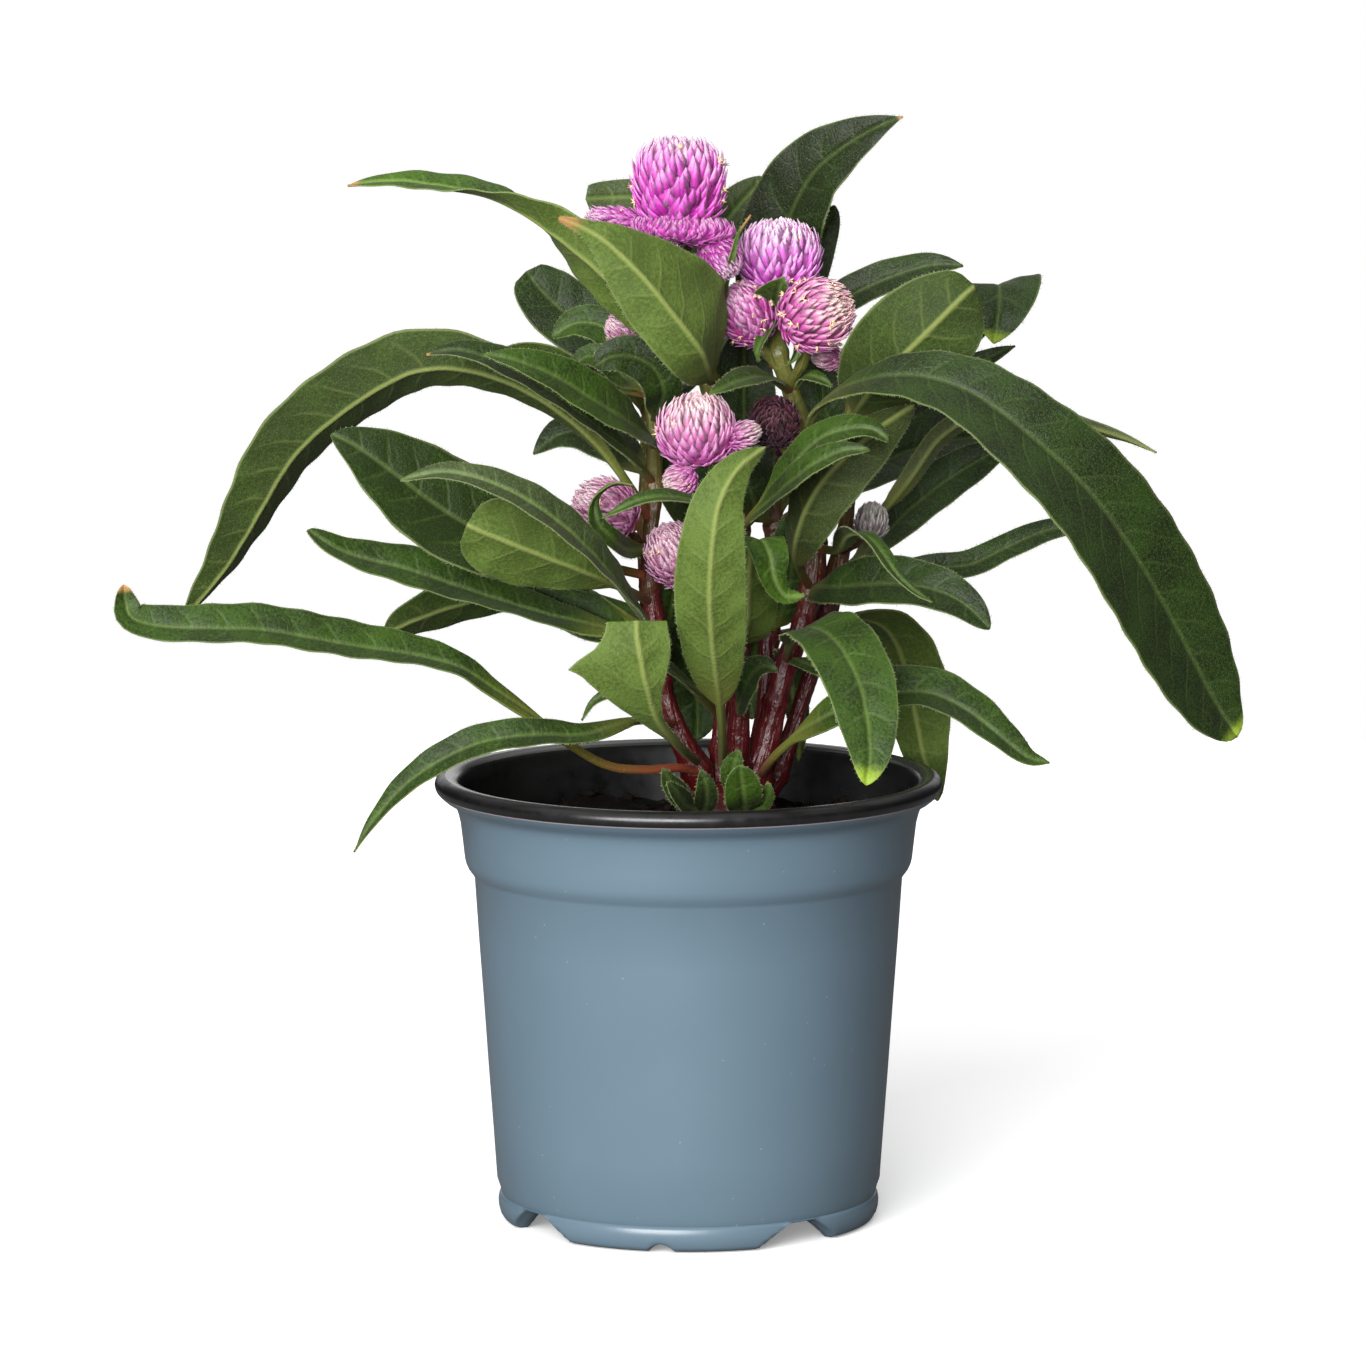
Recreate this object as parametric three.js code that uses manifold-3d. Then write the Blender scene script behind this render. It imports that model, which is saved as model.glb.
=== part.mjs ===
// A potted globe amaranth: a bushy plant with hairy leaves and papery globe heads, in a round nursery
// pot. Millimetres, +Z up. The origin is on the pot's axis at the surface it stands on, and the front
// looks to -Y.
import * as THREE from 'three';
import { mergeVertices } from 'three/addons/utils/BufferGeometryUtils.js';
import Module from 'manifold-3d';

const wasm = await Module();
wasm.setup();

// Pot sizes: a 12 cm pot with a rolled rim, a wider collar and four curved feet.
const POT_HEIGHT = 106;
const RIM_RADIUS = 60;
const WALL_THICKNESS = 1.2;
const FOOT_HEIGHT = 6.5;
const FOOT_TURN = -8.5;
const FOOT_COUNT = 4;
const FLOOR_UNDERSIDE = 5.4;
const FLOOR_TOP = 6.9;
const POT_SIDES = 32;

// The potting mix, and the gap that pieces keep where they touch.
const SOIL_TOP = 92;
const SOIL_ROUGHNESS = 1.6;
const GAP = 0.3;

// Blades: one thickness over the leaf, a thicker stalk, and one station every few millimetres.
const BLADE_THICKNESS = 0.9;
const STALK_THICKNESS = 1.7;
const STALK_WIDTH = 2.2;
const TIP_WIDTH = 1;
const STATION_SPACING = 10;
const MOST_STATIONS = 12;
const TIP_CROWDING = 1.25;
const CARRIED_SHARE = 0.8;
const COLLAR_WALL = 1.5;

// Heads: how far the tip of a bract stands out of the furrows between the bracts.
const BRACT_LIFT = 1.5;
const STEM_SIDES = 6;

// Plant places are read off the front view as [across, up, behind], seen from an eye far in front of the
// pot. A place further behind the pot's axis is spread away from the line of sight, so it keeps its place
// in that view whatever its depth.
const EYE_DISTANCE = 1800;
const EYE_HEIGHT = 380;

function place([across, up, behind]) {
  const spread = 1 + behind / EYE_DISTANCE;
  return new THREE.Vector3(across * spread, behind, EYE_HEIGHT + (up - EYE_HEIGHT) * spread);
}

// The outside wall, from the foot line up to the lip: radius and height.
const WALL_COURSE = [
  [44.6, FOOT_HEIGHT],
  [45.5, 9.6],
  [50.6, 82],
  [52.2, 84.4],
  [53, 87],
  [53.9, 95],
  [54.8, 98.2],
];
const RIM_COURSE = [
  [57, 100.2],
  [59.2, 101.6],
  [RIM_RADIUS, 103.8],
  [59.2, 105.5],
  [57.6, POT_HEIGHT],
  [55.5, 105.6],
];

// Stems: each a list of [across, up, behind, radius], thicker at the joints where leaves stand.
const STEMS = {
  left: [
    [5, 98, 0, 2.8],
    [2, 107, -1, 3.1],
    [-3, 117, -1, 2.6],
    [-6, 128, 0, 2.1],
    [-7, 138, 0, 2.5],
    [-9, 151, 1, 2.1],
    [-9, 163, 3, 1.8],
    [-8, 174, 5, 2.2],
    [-8, 186, 9, 1.6],
    [-9, 198, 9, 1.8],
    [-11, 204, 7, 1.2],
    [-14, 209.5, 5, 1.1],
  ],
  centre: [
    [8, 98, 3, 2.8],
    [8, 112, 4, 2.6],
    [8.5, 124, 6, 2.3],
    [8, 138, 8, 2.5],
    [8, 152, 9, 1.9],
    [7, 168, 9, 2],
    [6, 184, 8, 1.7],
    [5, 199, 6, 2.1],
    [3, 211, 7, 1.5],
    [1.5, 222, 6, 1.9],
    [-1, 231, 2, 1.4],
    [-2, 238, 0, 1.3],
  ],
  front: [
    [11, 98, -3, 2.6],
    [11.5, 108, -4, 2.9],
    [12, 120, -5, 2.4],
    [12, 136, -6, 2.3],
    [12.5, 150, -6, 1.8],
    [12, 164, -7, 2.2],
    [9.5, 173, -10, 1.5],
    [4.5, 183, -15, 1.3],
  ],
  right: [
    [14, 98, 0, 3],
    [16, 105, 0, 3.6],
    [18.5, 114, 1, 3.3],
    [20.5, 123, 2, 2.8],
    [23, 132, 4, 3.2],
    [27, 142, 7, 2.3],
    [29, 150, 8, 2.9],
    [30, 161, 9, 2.3],
    [29.5, 173, 9, 1.9],
    [28, 184, 9, 2.3],
    [24, 197, 7, 2],
    [21, 206, 6, 2.1],
    [21, 213, 11, 1.4],
    [21.5, 221, 8, 1.4],
  ],
  backRight: [
    [16, 97, 7, 2.4],
    [21, 106, 12, 2.4],
    [26, 121, 15, 2],
    [31, 137, 16, 2.3],
    [34, 151, 15, 2.4],
    [36.5, 162, 14, 2],
    [38, 174, 12, 1.5],
    [38.5, 187, 10, 2],
    [38.5, 199, 7, 1.2],
  ],
  backLeft: [
    [4, 96, 8, 2.3],
    [1, 105, 14, 2.4],
    [-4, 121, 22, 2],
    [-8, 137, 28, 2.4],
    [-10, 152, 32, 1.7],
    [-10, 166, 35, 2.2],
    [-10, 178, 38, 1.5],
    [-9, 189, 40, 2],
    [-8, 197, 42, 1.3],
  ],
  back: [
    [11, 96, 10, 2.4],
    [15, 106, 17, 2.4],
    [18, 123, 25, 2],
    [19, 139, 30, 2.4],
    [20, 152, 34, 1.7],
    [20, 165, 37, 2.2],
    [20, 174, 40, 1.4],
    [20.5, 182, 44, 1.3],
  ],
  toBloomLeft: [
    [-9, 157, 2, 1.5],
    [-13, 162, -3, 1.2],
    [-17, 165.5, -9, 1.1],
  ],
  toBloomBehindLeaf: [
    [8, 138, 8, 1.6],
    [4, 145, 0, 1.2],
    [0, 152, -7, 1.1],
  ],
  toBloomHalfHidden: [
    [22.5, 201, 6, 1.4],
    [18, 206, 5, 1.1],
    [15, 210, 4, 1.1],
  ],
  toBloomRound: [
    [23.5, 198, 6, 1.4],
    [26.5, 203, 1, 1.2],
    [28.5, 208.5, -4, 1.1],
  ],
  toBloomMaroon: [
    [29.5, 173, 9, 1.3],
    [25, 179, 3, 1.1],
    [21.5, 185, -2, 1.1],
  ],
  toBloomWilted: [
    [36, 159, 14, 1.4],
    [39.5, 161, 8, 1],
    [42, 163.5, 4, 1],
  ],
};

// The swollen crown that the stems grow from: centre and half sizes.
const CROWN = { centre: [9.5, 95.5, 3], half: [11, 9.5, 10] };

const GREENS = { dark: '#33471f', middle: '#4a6629', light: '#708c46', grey: '#55663f' };

// Leaves. course: the midrib from its stem to the tip. width: the blade's widest place. stalk: the share
// of the length that is stalk. full and blunt: how the width swells and how it closes at the tip. face:
// where the upper face looks, at even steps from base to tip. fold: how far each half is raised about the
// midrib, in degrees. wave: height of the edge's waves. lean: the share of each half. halves: for a leaf
// of odd outline, how wide each half is at even steps from the end of the stalk to the tip. steps: how
// many stretches a strongly turned leaf is drawn in.
const LEAVES = {
  leaf_top_upright: {
    colour: 'dark',
    blades: [
      {
        course: [[20, 203, 6], [18, 209, 17], [19, 220, 23], [21.2, 231, 24], [24.4, 240.5, 22],
          [29, 248.3, 19], [36, 254.2, 16], [43.6, 258.6, 14], [50, 261.2, 13]],
        width: 21, stalk: 0.12, full: 0.85, blunt: 1, face: [[0, -1, 0.5], [-0.3, -1, 0.3]], fold: 14,
        wave: 0.6,
      },
    ],
  },
  leaf_pair_behind_top_bloom: {
    colour: 'grey',
    blades: [
      {
        course: [[1.5, 222, 6], [4, 230, 15], [2, 239, 20], [-6, 242.3, 21], [-15, 242.4, 20],
          [-24, 242, 18]],
        width: 8.5, stalk: 0.1, full: 0.6, blunt: 0.16, face: [[-0.3, -1, 0.3], [0, -1, 0.3]], fold: 8,
      },
      {
        course: [[1.5, 222, 6], [5, 230, 24], [10.5, 239, 34], [18, 247, 38]],
        width: 11, stalk: 0.12, full: 0.9, blunt: 0.6, face: [[0.1, -1, 0.3]], fold: 10,
      },
    ],
  },
  leaf_pair_top_right: {
    colour: 'dark',
    blades: [
      {
        course: [[21, 208, 8], [29, 213.5, 13], [38, 219.5, 14], [48, 224, 13], [57, 226.5, 12],
          [64.3, 226.3, 11]],
        width: 10, stalk: 0.14, full: 0.9, blunt: 0.8, face: [[-0.2, -0.8, 0.6]], fold: 16, wave: 0.5,
      },
      {
        course: [[21, 208, 8], [27, 213, 19], [27.8, 223, 31], [30.2, 232, 36], [34.3, 240.4, 36]],
        width: 10, stalk: 0.14, full: 1.3, blunt: 0.6, face: [[0.2, -1, 0.2]], fold: 12,
      },
    ],
  },
  leaf_front_broad: {
    colour: 'light',
    blades: [
      {
        course: [[5, 199, 6], [4.5, 200.5, -6], [1, 207, -17], [-5, 215, -21], [-11.5, 223.5, -23],
          [-19, 231.3, -23], [-24.5, 235, -22], [-30.3, 237.4, -20]],
        width: 29, stalk: 0.14, full: 0.7, blunt: 1, face: [[-0.6, 0.8, 0.1]], fold: 22, wave: 0.6,
        halves: [[1.1, 13, 19.5, 20, 17.5, 13, 8, 3, 0.7], [1.1, 6, 8.5, 9, 9, 8, 5.5, 2.2, 0.7]],
      },
    ],
  },
  leaf_long_top_left: {
    colour: 'light',
    blades: [
      {
        course: [[4, 205, 6], [-2, 208, 0], [-8, 213, -4], [-15, 220, -5], [-22.5, 227.3, -3],
          [-30, 233.7, 0], [-38, 239.5, 4], [-47, 243.6, 8], [-57, 245.2, 12], [-68, 246.3, 15],
          [-79.7, 245.2, 17]],
        width: 17, stalk: 0.1, full: 0.6, blunt: 0.8,
        face: [[0.2, 1, 0.3], [-0.1, 0.9, 0.5], [-0.1, 0.9, 0.5], [0, 0.8, 0.6], [0.1, 0.2, 1],
          [0, -0.3, 1],
          [0, -0.5, 0.9]],
        fold: 14, wave: 0.6,
        steps: 13,
      },
    ],
  },
  leaf_dark_left: {
    colour: 'dark',
    blades: [
      {
        course: [[-9.5, 202, 8], [-6.5, 206, 18], [-9, 208, 29], [-17.5, 209.5, 38],
          [-27, 214, 42], [-34, 220, 43], [-38, 225, 44]],
        width: 17, stalk: 0.12, full: 0.8, blunt: 0.32, face: [[0.2, -1, 0.4]], fold: 10, wave: 0.5,
      },
    ],
  },
  shoot_left_curled: {
    colour: 'middle',
    blades: [
      {
        course: [[-9, 196, 9], [-14, 205, 18], [-19, 211.5, 21], [-26, 213, 22], [-32, 209.5, 22]],
        width: 10, stalk: 0.15, full: 0.8, blunt: 0.6, face: [[0, -1, 0.6], [-0.5, -0.8, 0.6]], fold: 16,
      },
      {
        course: [[-9, 196, 9], [-15, 200, 13], [-19, 204, 14], [-24, 205, 14], [-27.5, 201.5, 13]],
        width: 7, stalk: 0.15, full: 0.8, blunt: 0.7, face: [[0, -1, 0.6], [-0.5, -0.8, 0.6]], fold: 16,
      },
      {
        course: [[-9, 196, 9], [-18, 198, 20], [-27, 202, 28], [-36, 205.8, 31], [-44.5, 206.3, 32]],
        width: 8, stalk: 0.15, full: 0.9, blunt: 0.7, face: [[0, 0.8, 0.6]], fold: 12,
      },
    ],
  },
  leaf_dark_curled: {
    colour: 'dark',
    blades: [
      {
        course: [[-8, 190, 9], [-7, 193, 2], [-6, 197, -3], [-8, 202, -5], [-13, 205, -6],
          [-18, 205, -7], [-22, 202.5, -7]],
        width: 10.5, stalk: 0.1, full: 0.8, blunt: 0.5, face: [[0.1, -1, 0.1], [-0.1, -0.9, 0.4]],
        fold: 12,
        wave: 0.6,
      },
    ],
  },
  leaf_left_arching: {
    colour: 'middle',
    blades: [
      {
        course: [[-9, 166, 3], [-13, 173, 1], [-21, 184, -1], [-31, 193, -3], [-42, 199.5, -4],
          [-54, 203, -5], [-64, 202.6, -5], [-72.4, 199, -4], [-80.6, 193.8, -3], [-88.8, 187.4, -2],
          [-94.8, 180.8, -1], [-99.8, 172.6, 0], [-104.6, 164, 0], [-109.6, 155.6, 0],
          [-115.3, 148, 0], [-120.3, 141, 0]],
        width: 21.5, stalk: 0.08, full: 1.5, blunt: 1,
        face: [[0.5, 0.8, 0.5], [0, 0.85, 0.6], [-0.8, 0.6, 0.3]], fold: 22, wave: 0.8,
        lean: [1.07, 0.93],
      },
    ],
  },
  leaf_pair_left_upper: {
    colour: 'dark',
    blades: [
      {
        course: [[-8, 175, 5], [-14, 182, -7], [-25, 191.5, -14], [-36, 199.5, -18], [-46, 204.5, -20],
          [-54, 206.5, -21], [-61.5, 205.5, -21]],
        width: 12, stalk: 0.12, full: 0.9, blunt: 0.8, face: [[0.3, -0.5, 0.8]], fold: 18, wave: 0.4,
      },
      {
        course: [[-8, 175, 5], [-15, 182, 14], [-23, 187, 20], [-30, 186.8, 22], [-36.5, 182, 21]],
        width: 11.5, stalk: 0.15, full: 0.8, blunt: 0.8, face: [[0, -0.7, 0.8], [-0.4, -0.8, 0.5]],
        fold: 14,
      },
      {
        course: [[-8, 175, 5], [-4, 178, 12], [1, 181.5, 15], [7, 184, 16]],
        width: 13, stalk: 0.12, full: 0.8, blunt: 0.6, face: [[0, -1, 0.2]], fold: 10,
      },
    ],
  },
  leaf_left_upper_light: {
    colour: 'middle',
    blades: [
      {
        course: [[-8, 184, 8], [-10, 187, -8], [-14, 190, -17], [-22, 195, -25], [-31, 200.5, -30],
          [-40, 204, -33], [-48, 205.5, -34]],
        width: 13, stalk: 0.12, full: 0.8, blunt: 0.8, face: [[0.3, -0.8, 0.7]], fold: 18, wave: 0.4,
      },
    ],
  },
  leaf_mid_left_broad: {
    colour: 'middle',
    blades: [
      {
        course: [[-9, 153, 1], [-22, 156, -3], [-37, 160, -7], [-50, 164.7, -11], [-60, 170.8, -13],
          [-69.6, 178, -15], [-78, 183.8, -16], [-84, 186.6, -16]],
        width: 26.5, stalk: 0.12, full: 0.85, blunt: 0.75, face: [[0.2, -0.8, 0.7], [0.2, -0.85, 0.6]],
        fold: 10, wave: 0.9,
      },
    ],
  },
  leaf_mid_left_grey: {
    colour: 'grey',
    blades: [
      {
        course: [[-7, 133, 0], [-8, 139.5, -16], [-13.4, 147.5, -32], [-20.8, 157, -42],
          [-29, 165, -48], [-38, 171.4, -51], [-47.5, 175.8, -52], [-57.5, 177.8, -52],
          [-67.8, 175.8, -52]],
        width: 11, stalk: 0.15, full: 0.7, blunt: 0.7, face: [[0.2, -0.6, 0.8]], fold: 18, wave: 0.4,
      },
    ],
  },
  leaf_spoon: {
    colour: 'light',
    blades: [
      {
        course: [[-9, 147, 1], [-14, 149.5, -14], [-21, 153, -24], [-30, 156.6, -30],
          [-41, 161, -34], [-47, 163.4, -35], [-52.2, 165.4, -36]],
        width: 23, stalk: 0.36, full: 0.9, blunt: 0.36, face: [[0, 0.9, 0.4]], fold: 8, wave: 0.5,
      },
    ],
  },
  leaf_pair_mid_left_low: {
    colour: 'middle',
    blades: [
      {
        course: [[-7, 139, 0], [-18, 140, 5], [-30, 143.3, 6], [-42, 147, 6], [-54, 151, 5],
          [-66, 155, 4], [-78, 158, 3], [-84, 160.4, 2], [-89.7, 164, 2]],
        width: 13, stalk: 0.12, full: 0.6, blunt: 0.5, face: [[0.2, -0.6, 0.8]], fold: 18, wave: 1,
      },
      {
        course: [[-7, 139, 0], [-18, 145, 16], [-32, 148.3, 26], [-45, 148.8, 30], [-56, 146.2, 31],
          [-64.5, 143, 31], [-71.5, 139.6, 31]],
        width: 15, stalk: 0.15, full: 0.9, blunt: 0.5, face: [[0, 0.8, 0.6]], fold: 12, wave: 0.5,
      },
      {
        course: [[-7, 139, 0], [-14, 141, 9], [-22, 143, 14], [-31, 146, 17], [-40, 148.5, 19]],
        width: 12, stalk: 0.12, full: 0.6, blunt: 0.7, face: [[0, -0.9, 0.4]], fold: 12,
      },
    ],
  },
  leaf_low_left_long: {
    colour: 'middle',
    blades: [
      {
        course: [[5, 106, 0], [-2, 107.5, -8], [-10, 107, -13], [-19, 108, -17], [-28, 113, -20],
          [-37, 119.7, -22], [-46.3, 126.2, -24], [-54, 131.6, -26], [-65, 134.9, -28],
          [-78, 137, -31], [-90, 139.2, -34], [-101, 141, -36], [-112, 141.2, -38],
          [-123.6, 141.4, -38], [-131, 143.2, -38], [-132.6, 147, -37], [-133, 151, -37]],
        width: 13.5, stalk: 0.3, full: 0.9, blunt: 0.5, face: [[0.1, -0.6, 0.9]], fold: 20, wave: 0.4,
      },
    ],
  },
  leaf_low_left_drooping: {
    colour: 'middle',
    blades: [
      {
        course: [[-3, 118, -1], [-12, 118.8, -20], [-24, 115.6, -32], [-36, 115.6, -38],
          [-48, 114, -40],
          [-58, 109.8, -41], [-67, 103.5, -40], [-74, 95.5, -39], [-79.3, 87.3, -38]],
        width: 9, stalk: 0.22, full: 0.9, blunt: 0.9, face: [[0, -0.7, 0.8], [-0.6, -0.7, 0.5]],
        fold: 18, wave: 0.4,
      },
      {
        course: [[-3, 118, -1], [-9, 123, 8], [-16, 125.7, 12], [-22, 123.5, 12], [-25.3, 118.8, 11]],
        width: 3.4, stalk: 0.3, full: 0.8, blunt: 0.8, face: [[0, -0.6, 0.8], [-0.6, -0.7, 0.5]],
        fold: 10,
      },
    ],
  },
  leaf_front_left_light: {
    colour: 'light',
    blades: [
      {
        course: [[2, 109, -1], [0, 110.5, -18], [-3, 113.5, -34], [-7.4, 119, -46], [-10, 127, -53],
          [-11.5, 134, -55], [-12.2, 138, -55], [-12.4, 142.4, -54]],
        width: 24, stalk: 0.5, full: 0.7, blunt: 0.36, face: [[0, 1, 0.3], [-0.2, 0.95, 0.3]], fold: 8,
        wave: 0.6, steps: 12,
        halves: [[1.1, 1.1, 1.1, 1.1, 1.2, 1.5, 1.9, 2.3, 2.8, 3.8, 5, 6.1, 7.2, 7.6, 7.7, 7.6, 7.4],
          [1.1, 1.4, 1.8, 2.4, 3, 4, 5.2, 6.6, 8, 9.4, 11, 12.7, 14.4, 17.4, 9, 7.2, 6.8]],
      },
    ],
  },
  leaf_front_centre: {
    colour: 'light',
    blades: [
      {
        course: [[8, 107, 4], [8, 114, -18], [7.3, 124, -34], [5.8, 136, -46], [5, 149, -54],
          [5.7, 162, -58], [7.3, 171, -58], [11.5, 178.5, -55], [18, 183.6, -50]],
        width: 17, stalk: 0.36, full: 0.7, blunt: 0.8, face: [[0, 1, 0.4], [0.1, 1, 0.1]], fold: 14,
        wave: 0.5,
      },
    ],
  },
  leaf_centre_folded: {
    colour: 'light',
    blades: [
      {
        course: [[12, 136, -6], [14, 142, -18], [14.3, 152, -26], [15, 160, -31], [17, 162, -35.5],
          [19, 158, -39], [20, 152.5, -39.5], [22.5, 148.5, -38], [27.5, 148.5, -36]],
        width: 14, stalk: 0.08, full: 0.5, blunt: 0.8,
        face: [[0.1, 0.9, 0.3], [0.1, 0.9, 0.3], [0.1, 0.9, 0.4], [0.1, 0.1, 1], [0.2, -0.9, 0.4],
          [0.4, -0.8, 0.5]],
        fold: 8,
        steps: 10,
      },
    ],
  },
  leaf_front_right_drooping: {
    colour: 'middle',
    blades: [
      {
        course: [[23, 133, 4], [24.5, 138, -16], [28.8, 141.2, -32], [34.6, 138, -46], [39.8, 129, -57],
          [42, 120, -63], [42.8, 111, -68], [42, 103.3, -71]],
        width: 17.5, stalk: 0.2, full: 0.8, blunt: 0.6,
        face: [[0, -0.2, 1], [0.1, -0.8, 0.6], [0.1, -1, 0.2]], fold: 12, wave: 0.6,
      },
      {
        course: [[23, 133, 4], [27, 132.5, -4], [32, 130, -9], [35.5, 126.5, -12]],
        width: 4.5, stalk: 0.2, full: 0.8, blunt: 0.8, face: [[0.1, -0.7, 0.7]], fold: 12,
      },
      {
        course: [[23, 133, 4], [23, 135, 18], [24.5, 127, 25], [26, 118, 28], [26, 109, 29]],
        width: 7, stalk: 0.15, full: 0.8, blunt: 0.8, face: [[0, 0.3, 0.9], [0.2, 1, 0.3]], fold: 10,
      },
    ],
  },
  leaf_pair_right: {
    colour: 'dark',
    blades: [
      {
        course: [[29, 150, 8], [32, 150.5, -3], [40, 151.3, -11], [49, 151.5, -17], [58, 150, -21],
          [65, 146.5, -23], [71, 140.5, -24]],
        width: 14, stalk: 0.08, full: 0.6, blunt: 0.6, face: [[0, -0.8, 0.6]], fold: 16, wave: 0.6,
      },
      {
        course: [[29, 150, 8], [25.6, 157, -7], [26.8, 164.5, -15], [30.6, 173, -19], [37, 180.6, -20],
          [44.6, 187.4, -18], [53, 193.5, -14]],
        width: 17, stalk: 0.22, full: 0.9, blunt: 0.8, face: [[0.5, 0.8, -0.3], [0.3, 0.9, -0.3]],
        fold: 22,
      },
    ],
  },
  leaf_right_narrow_curled: {
    colour: 'middle',
    blades: [
      {
        course: [[30, 160, 9], [35, 159.5, 0], [37.5, 163, -13], [40.5, 163.5, -22], [44.5, 160, -28],
          [48.5, 154, -32],
          [53, 149.5, -34], [57.5, 147, -35]],
        width: 6, stalk: 0.15, full: 0.8, blunt: 0.8, face: [[0.2, -0.4, 0.9], [0.5, -0.5, 0.7]],
        fold: 16,
      },
    ],
  },
  leaf_pair_right_behind: {
    colour: 'dark',
    blades: [
      {
        course: [[34, 152, 15], [43, 153.5, 17], [55, 155, 18], [66, 155.8, 19], [75, 160, 20],
          [84, 163.8, 21], [94, 165.5, 21]],
        width: 7.5, stalk: 0.15, full: 0.8, blunt: 0.5, face: [[0, -0.8, 0.6]], fold: 12, wave: 0.6,
      },
      {
        course: [[34, 152, 15], [39.6, 157, 24], [45.6, 162.6, 29], [52, 169, 32], [59.4, 175, 34],
          [68, 180.4, 35], [77.5, 185.6, 35]],
        width: 12.5, stalk: 0.2, full: 0.9, blunt: 0.8, face: [[-0.3, -0.9, 0.4]], fold: 14, wave: 0.5,
      },
    ],
  },
  leaf_right_drooping: {
    colour: 'dark',
    blades: [
      {
        course: [[28, 184, 9], [29, 191, -8], [35, 196.7, -20], [44, 200.3, -28], [54, 200.8, -33],
          [64.4, 198, -37], [73, 192.8, -39], [81, 186.5, -40], [89, 179.5, -40], [97, 171, -39],
          [104.5, 160.5, -37], [112, 148, -33], [118.5, 135.5, -29], [124.5, 123.5, -25],
          [129.6, 114.8, -22]],
        width: 31, stalk: 0.1, full: 1.3, blunt: 0.58,
        face: [[-0.2, -0.4, 0.9], [0.2, -0.7, 0.7], [0.5, -0.8, 0.4], [0.6, -0.8, 0.2]], fold: 14,
        wave: 0.8, lean: [0.88, 1.16],
      },
    ],
  },
  leaf_pair_right_inner: {
    colour: 'middle',
    blades: [
      {
        course: [[12, 164, -7], [18, 171, -16], [24, 179, -22], [30, 185.3, -26], [37, 188, -29],
          [43, 187.8, -31], [47, 184.9, -32]],
        width: 10, stalk: 0.2, full: 0.9, blunt: 0.7, face: [[-0.3, -0.7, 0.7], [0.2, -0.7, 0.8]],
        fold: 14,
        wave: 0.4,
      },
      {
        course: [[12, 164, -7], [16, 168, -20], [22, 174, -30], [29, 179.5, -36], [36, 182.7, -39],
          [42.5, 183, -40]],
        width: 8.5, stalk: 0.2, full: 0.9, blunt: 0.7, face: [[-0.3, -0.7, 0.7], [0.2, -0.7, 0.8]],
        fold: 14,
      },
    ],
  },
  leaf_right_grey_narrow: {
    colour: 'grey',
    blades: [
      {
        course: [[36.5, 163, 14], [43, 166, 14], [51, 175, 14], [59, 186, 14], [68, 191, 13],
          [80, 191.5, 12],
          [92, 189, 10], [102, 186, 8], [110, 182.4, 6]],
        width: 6.5, stalk: 0.15, full: 0.6, blunt: 0.8, face: [[0, 0.8, 0.6]], fold: 12, wave: 0.4,
      },
    ],
  },
  leaf_right_bright: {
    colour: 'light',
    blades: [
      {
        course: [[38.5, 190, 10], [41.5, 195, -4], [47, 202, -14], [53.5, 208.5, -19], [60, 215, -20],
          [64, 219, -20], [67, 221.5, -19]],
        width: 26, stalk: 0.12, full: 0.7, blunt: 0.45, face: [[0.3, 0.85, 0.3]], fold: 10, wave: 0.7,
      },
    ],
  },
  leaf_pair_right_upper: {
    colour: 'dark',
    blades: [
      {
        course: [[38.5, 184, 10], [49, 197, 24], [60, 208, 32], [68, 217, 35], [72, 222, 31],
          [72.8, 221, 24], [72.6, 215.5, 19], [71.6, 208, 17]],
        width: 21, stalk: 0.1, full: 1.8, blunt: 0.8,
        face: [[0, 1, 0.2], [0, 1, 0.3], [0, 1, 0.4], [0, 0.8, 0.8], [0, -0.7, 0.6], [0, -1, 0]], fold: 6,
        steps: 14,
      },
      {
        course: [[38.5, 184, 10], [47, 190, 20], [57, 197, 25], [67, 203, 25], [76.5, 207.5, 23]],
        width: 8, stalk: 0.15, full: 0.8, blunt: 0.8, face: [[0, -0.8, 0.6]], fold: 10,
      },
      {
        course: [[38.5, 184, 10], [35, 187, 20], [32, 193, 24], [31.5, 201, 25], [33.5, 209, 24]],
        width: 12, stalk: 0.12, full: 0.8, blunt: 0.6, face: [[0, -1, 0.2]], fold: 10,
      },
    ],
  },
  leaf_right_low: {
    colour: 'middle',
    blades: [
      {
        course: [[16.5, 105, 0], [20, 110, -14], [27, 116, -22], [36, 121.5, -28], [47, 125.5, -32],
          [57, 125.8, -35],
          [66, 121.5, -37], [74, 115, -38], [80, 110, -38], [85.3, 108.7, -37]],
        width: 14, stalk: 0.26, full: 0.9, blunt: 0.8, face: [[0, -0.7, 0.7], [0.3, -0.7, 0.7]],
        fold: 20, wave: 0.9,
      },
    ],
  },
  leaf_behind_right_drooping: {
    colour: 'light',
    blades: [
      {
        course: [[31, 139, 16], [39, 143.5, 24], [47, 141, 32], [51.6, 131.5, 39], [54, 120, 43],
          [56, 110, 45], [59, 99.6, 46]],
        width: 18, stalk: 0.12, full: 0.7, blunt: 0.7, face: [[0, 0.4, 0.9], [0.4, 0.9, 0.3]],
        fold: 12, wave: 0.5,
      },
    ],
  },
  leaf_centre_dark: {
    colour: 'dark',
    blades: [
      {
        course: [[12, 120, -5], [12.5, 125, -16], [15, 130, -20], [18, 131.7, -22], [21, 130.5, -23]],
        width: 9, stalk: 0.15, full: 0.9, blunt: 0.8, face: [[0, -0.8, 0.6]], fold: 12,
      },
    ],
  },
  leaf_low_centre_small: {
    colour: 'middle',
    blades: [
      {
        course: [[8.3, 119, 5], [4, 123.5, -8], [-2, 129, -16], [-8, 133.5, -22], [-13, 137, -26]],
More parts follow.
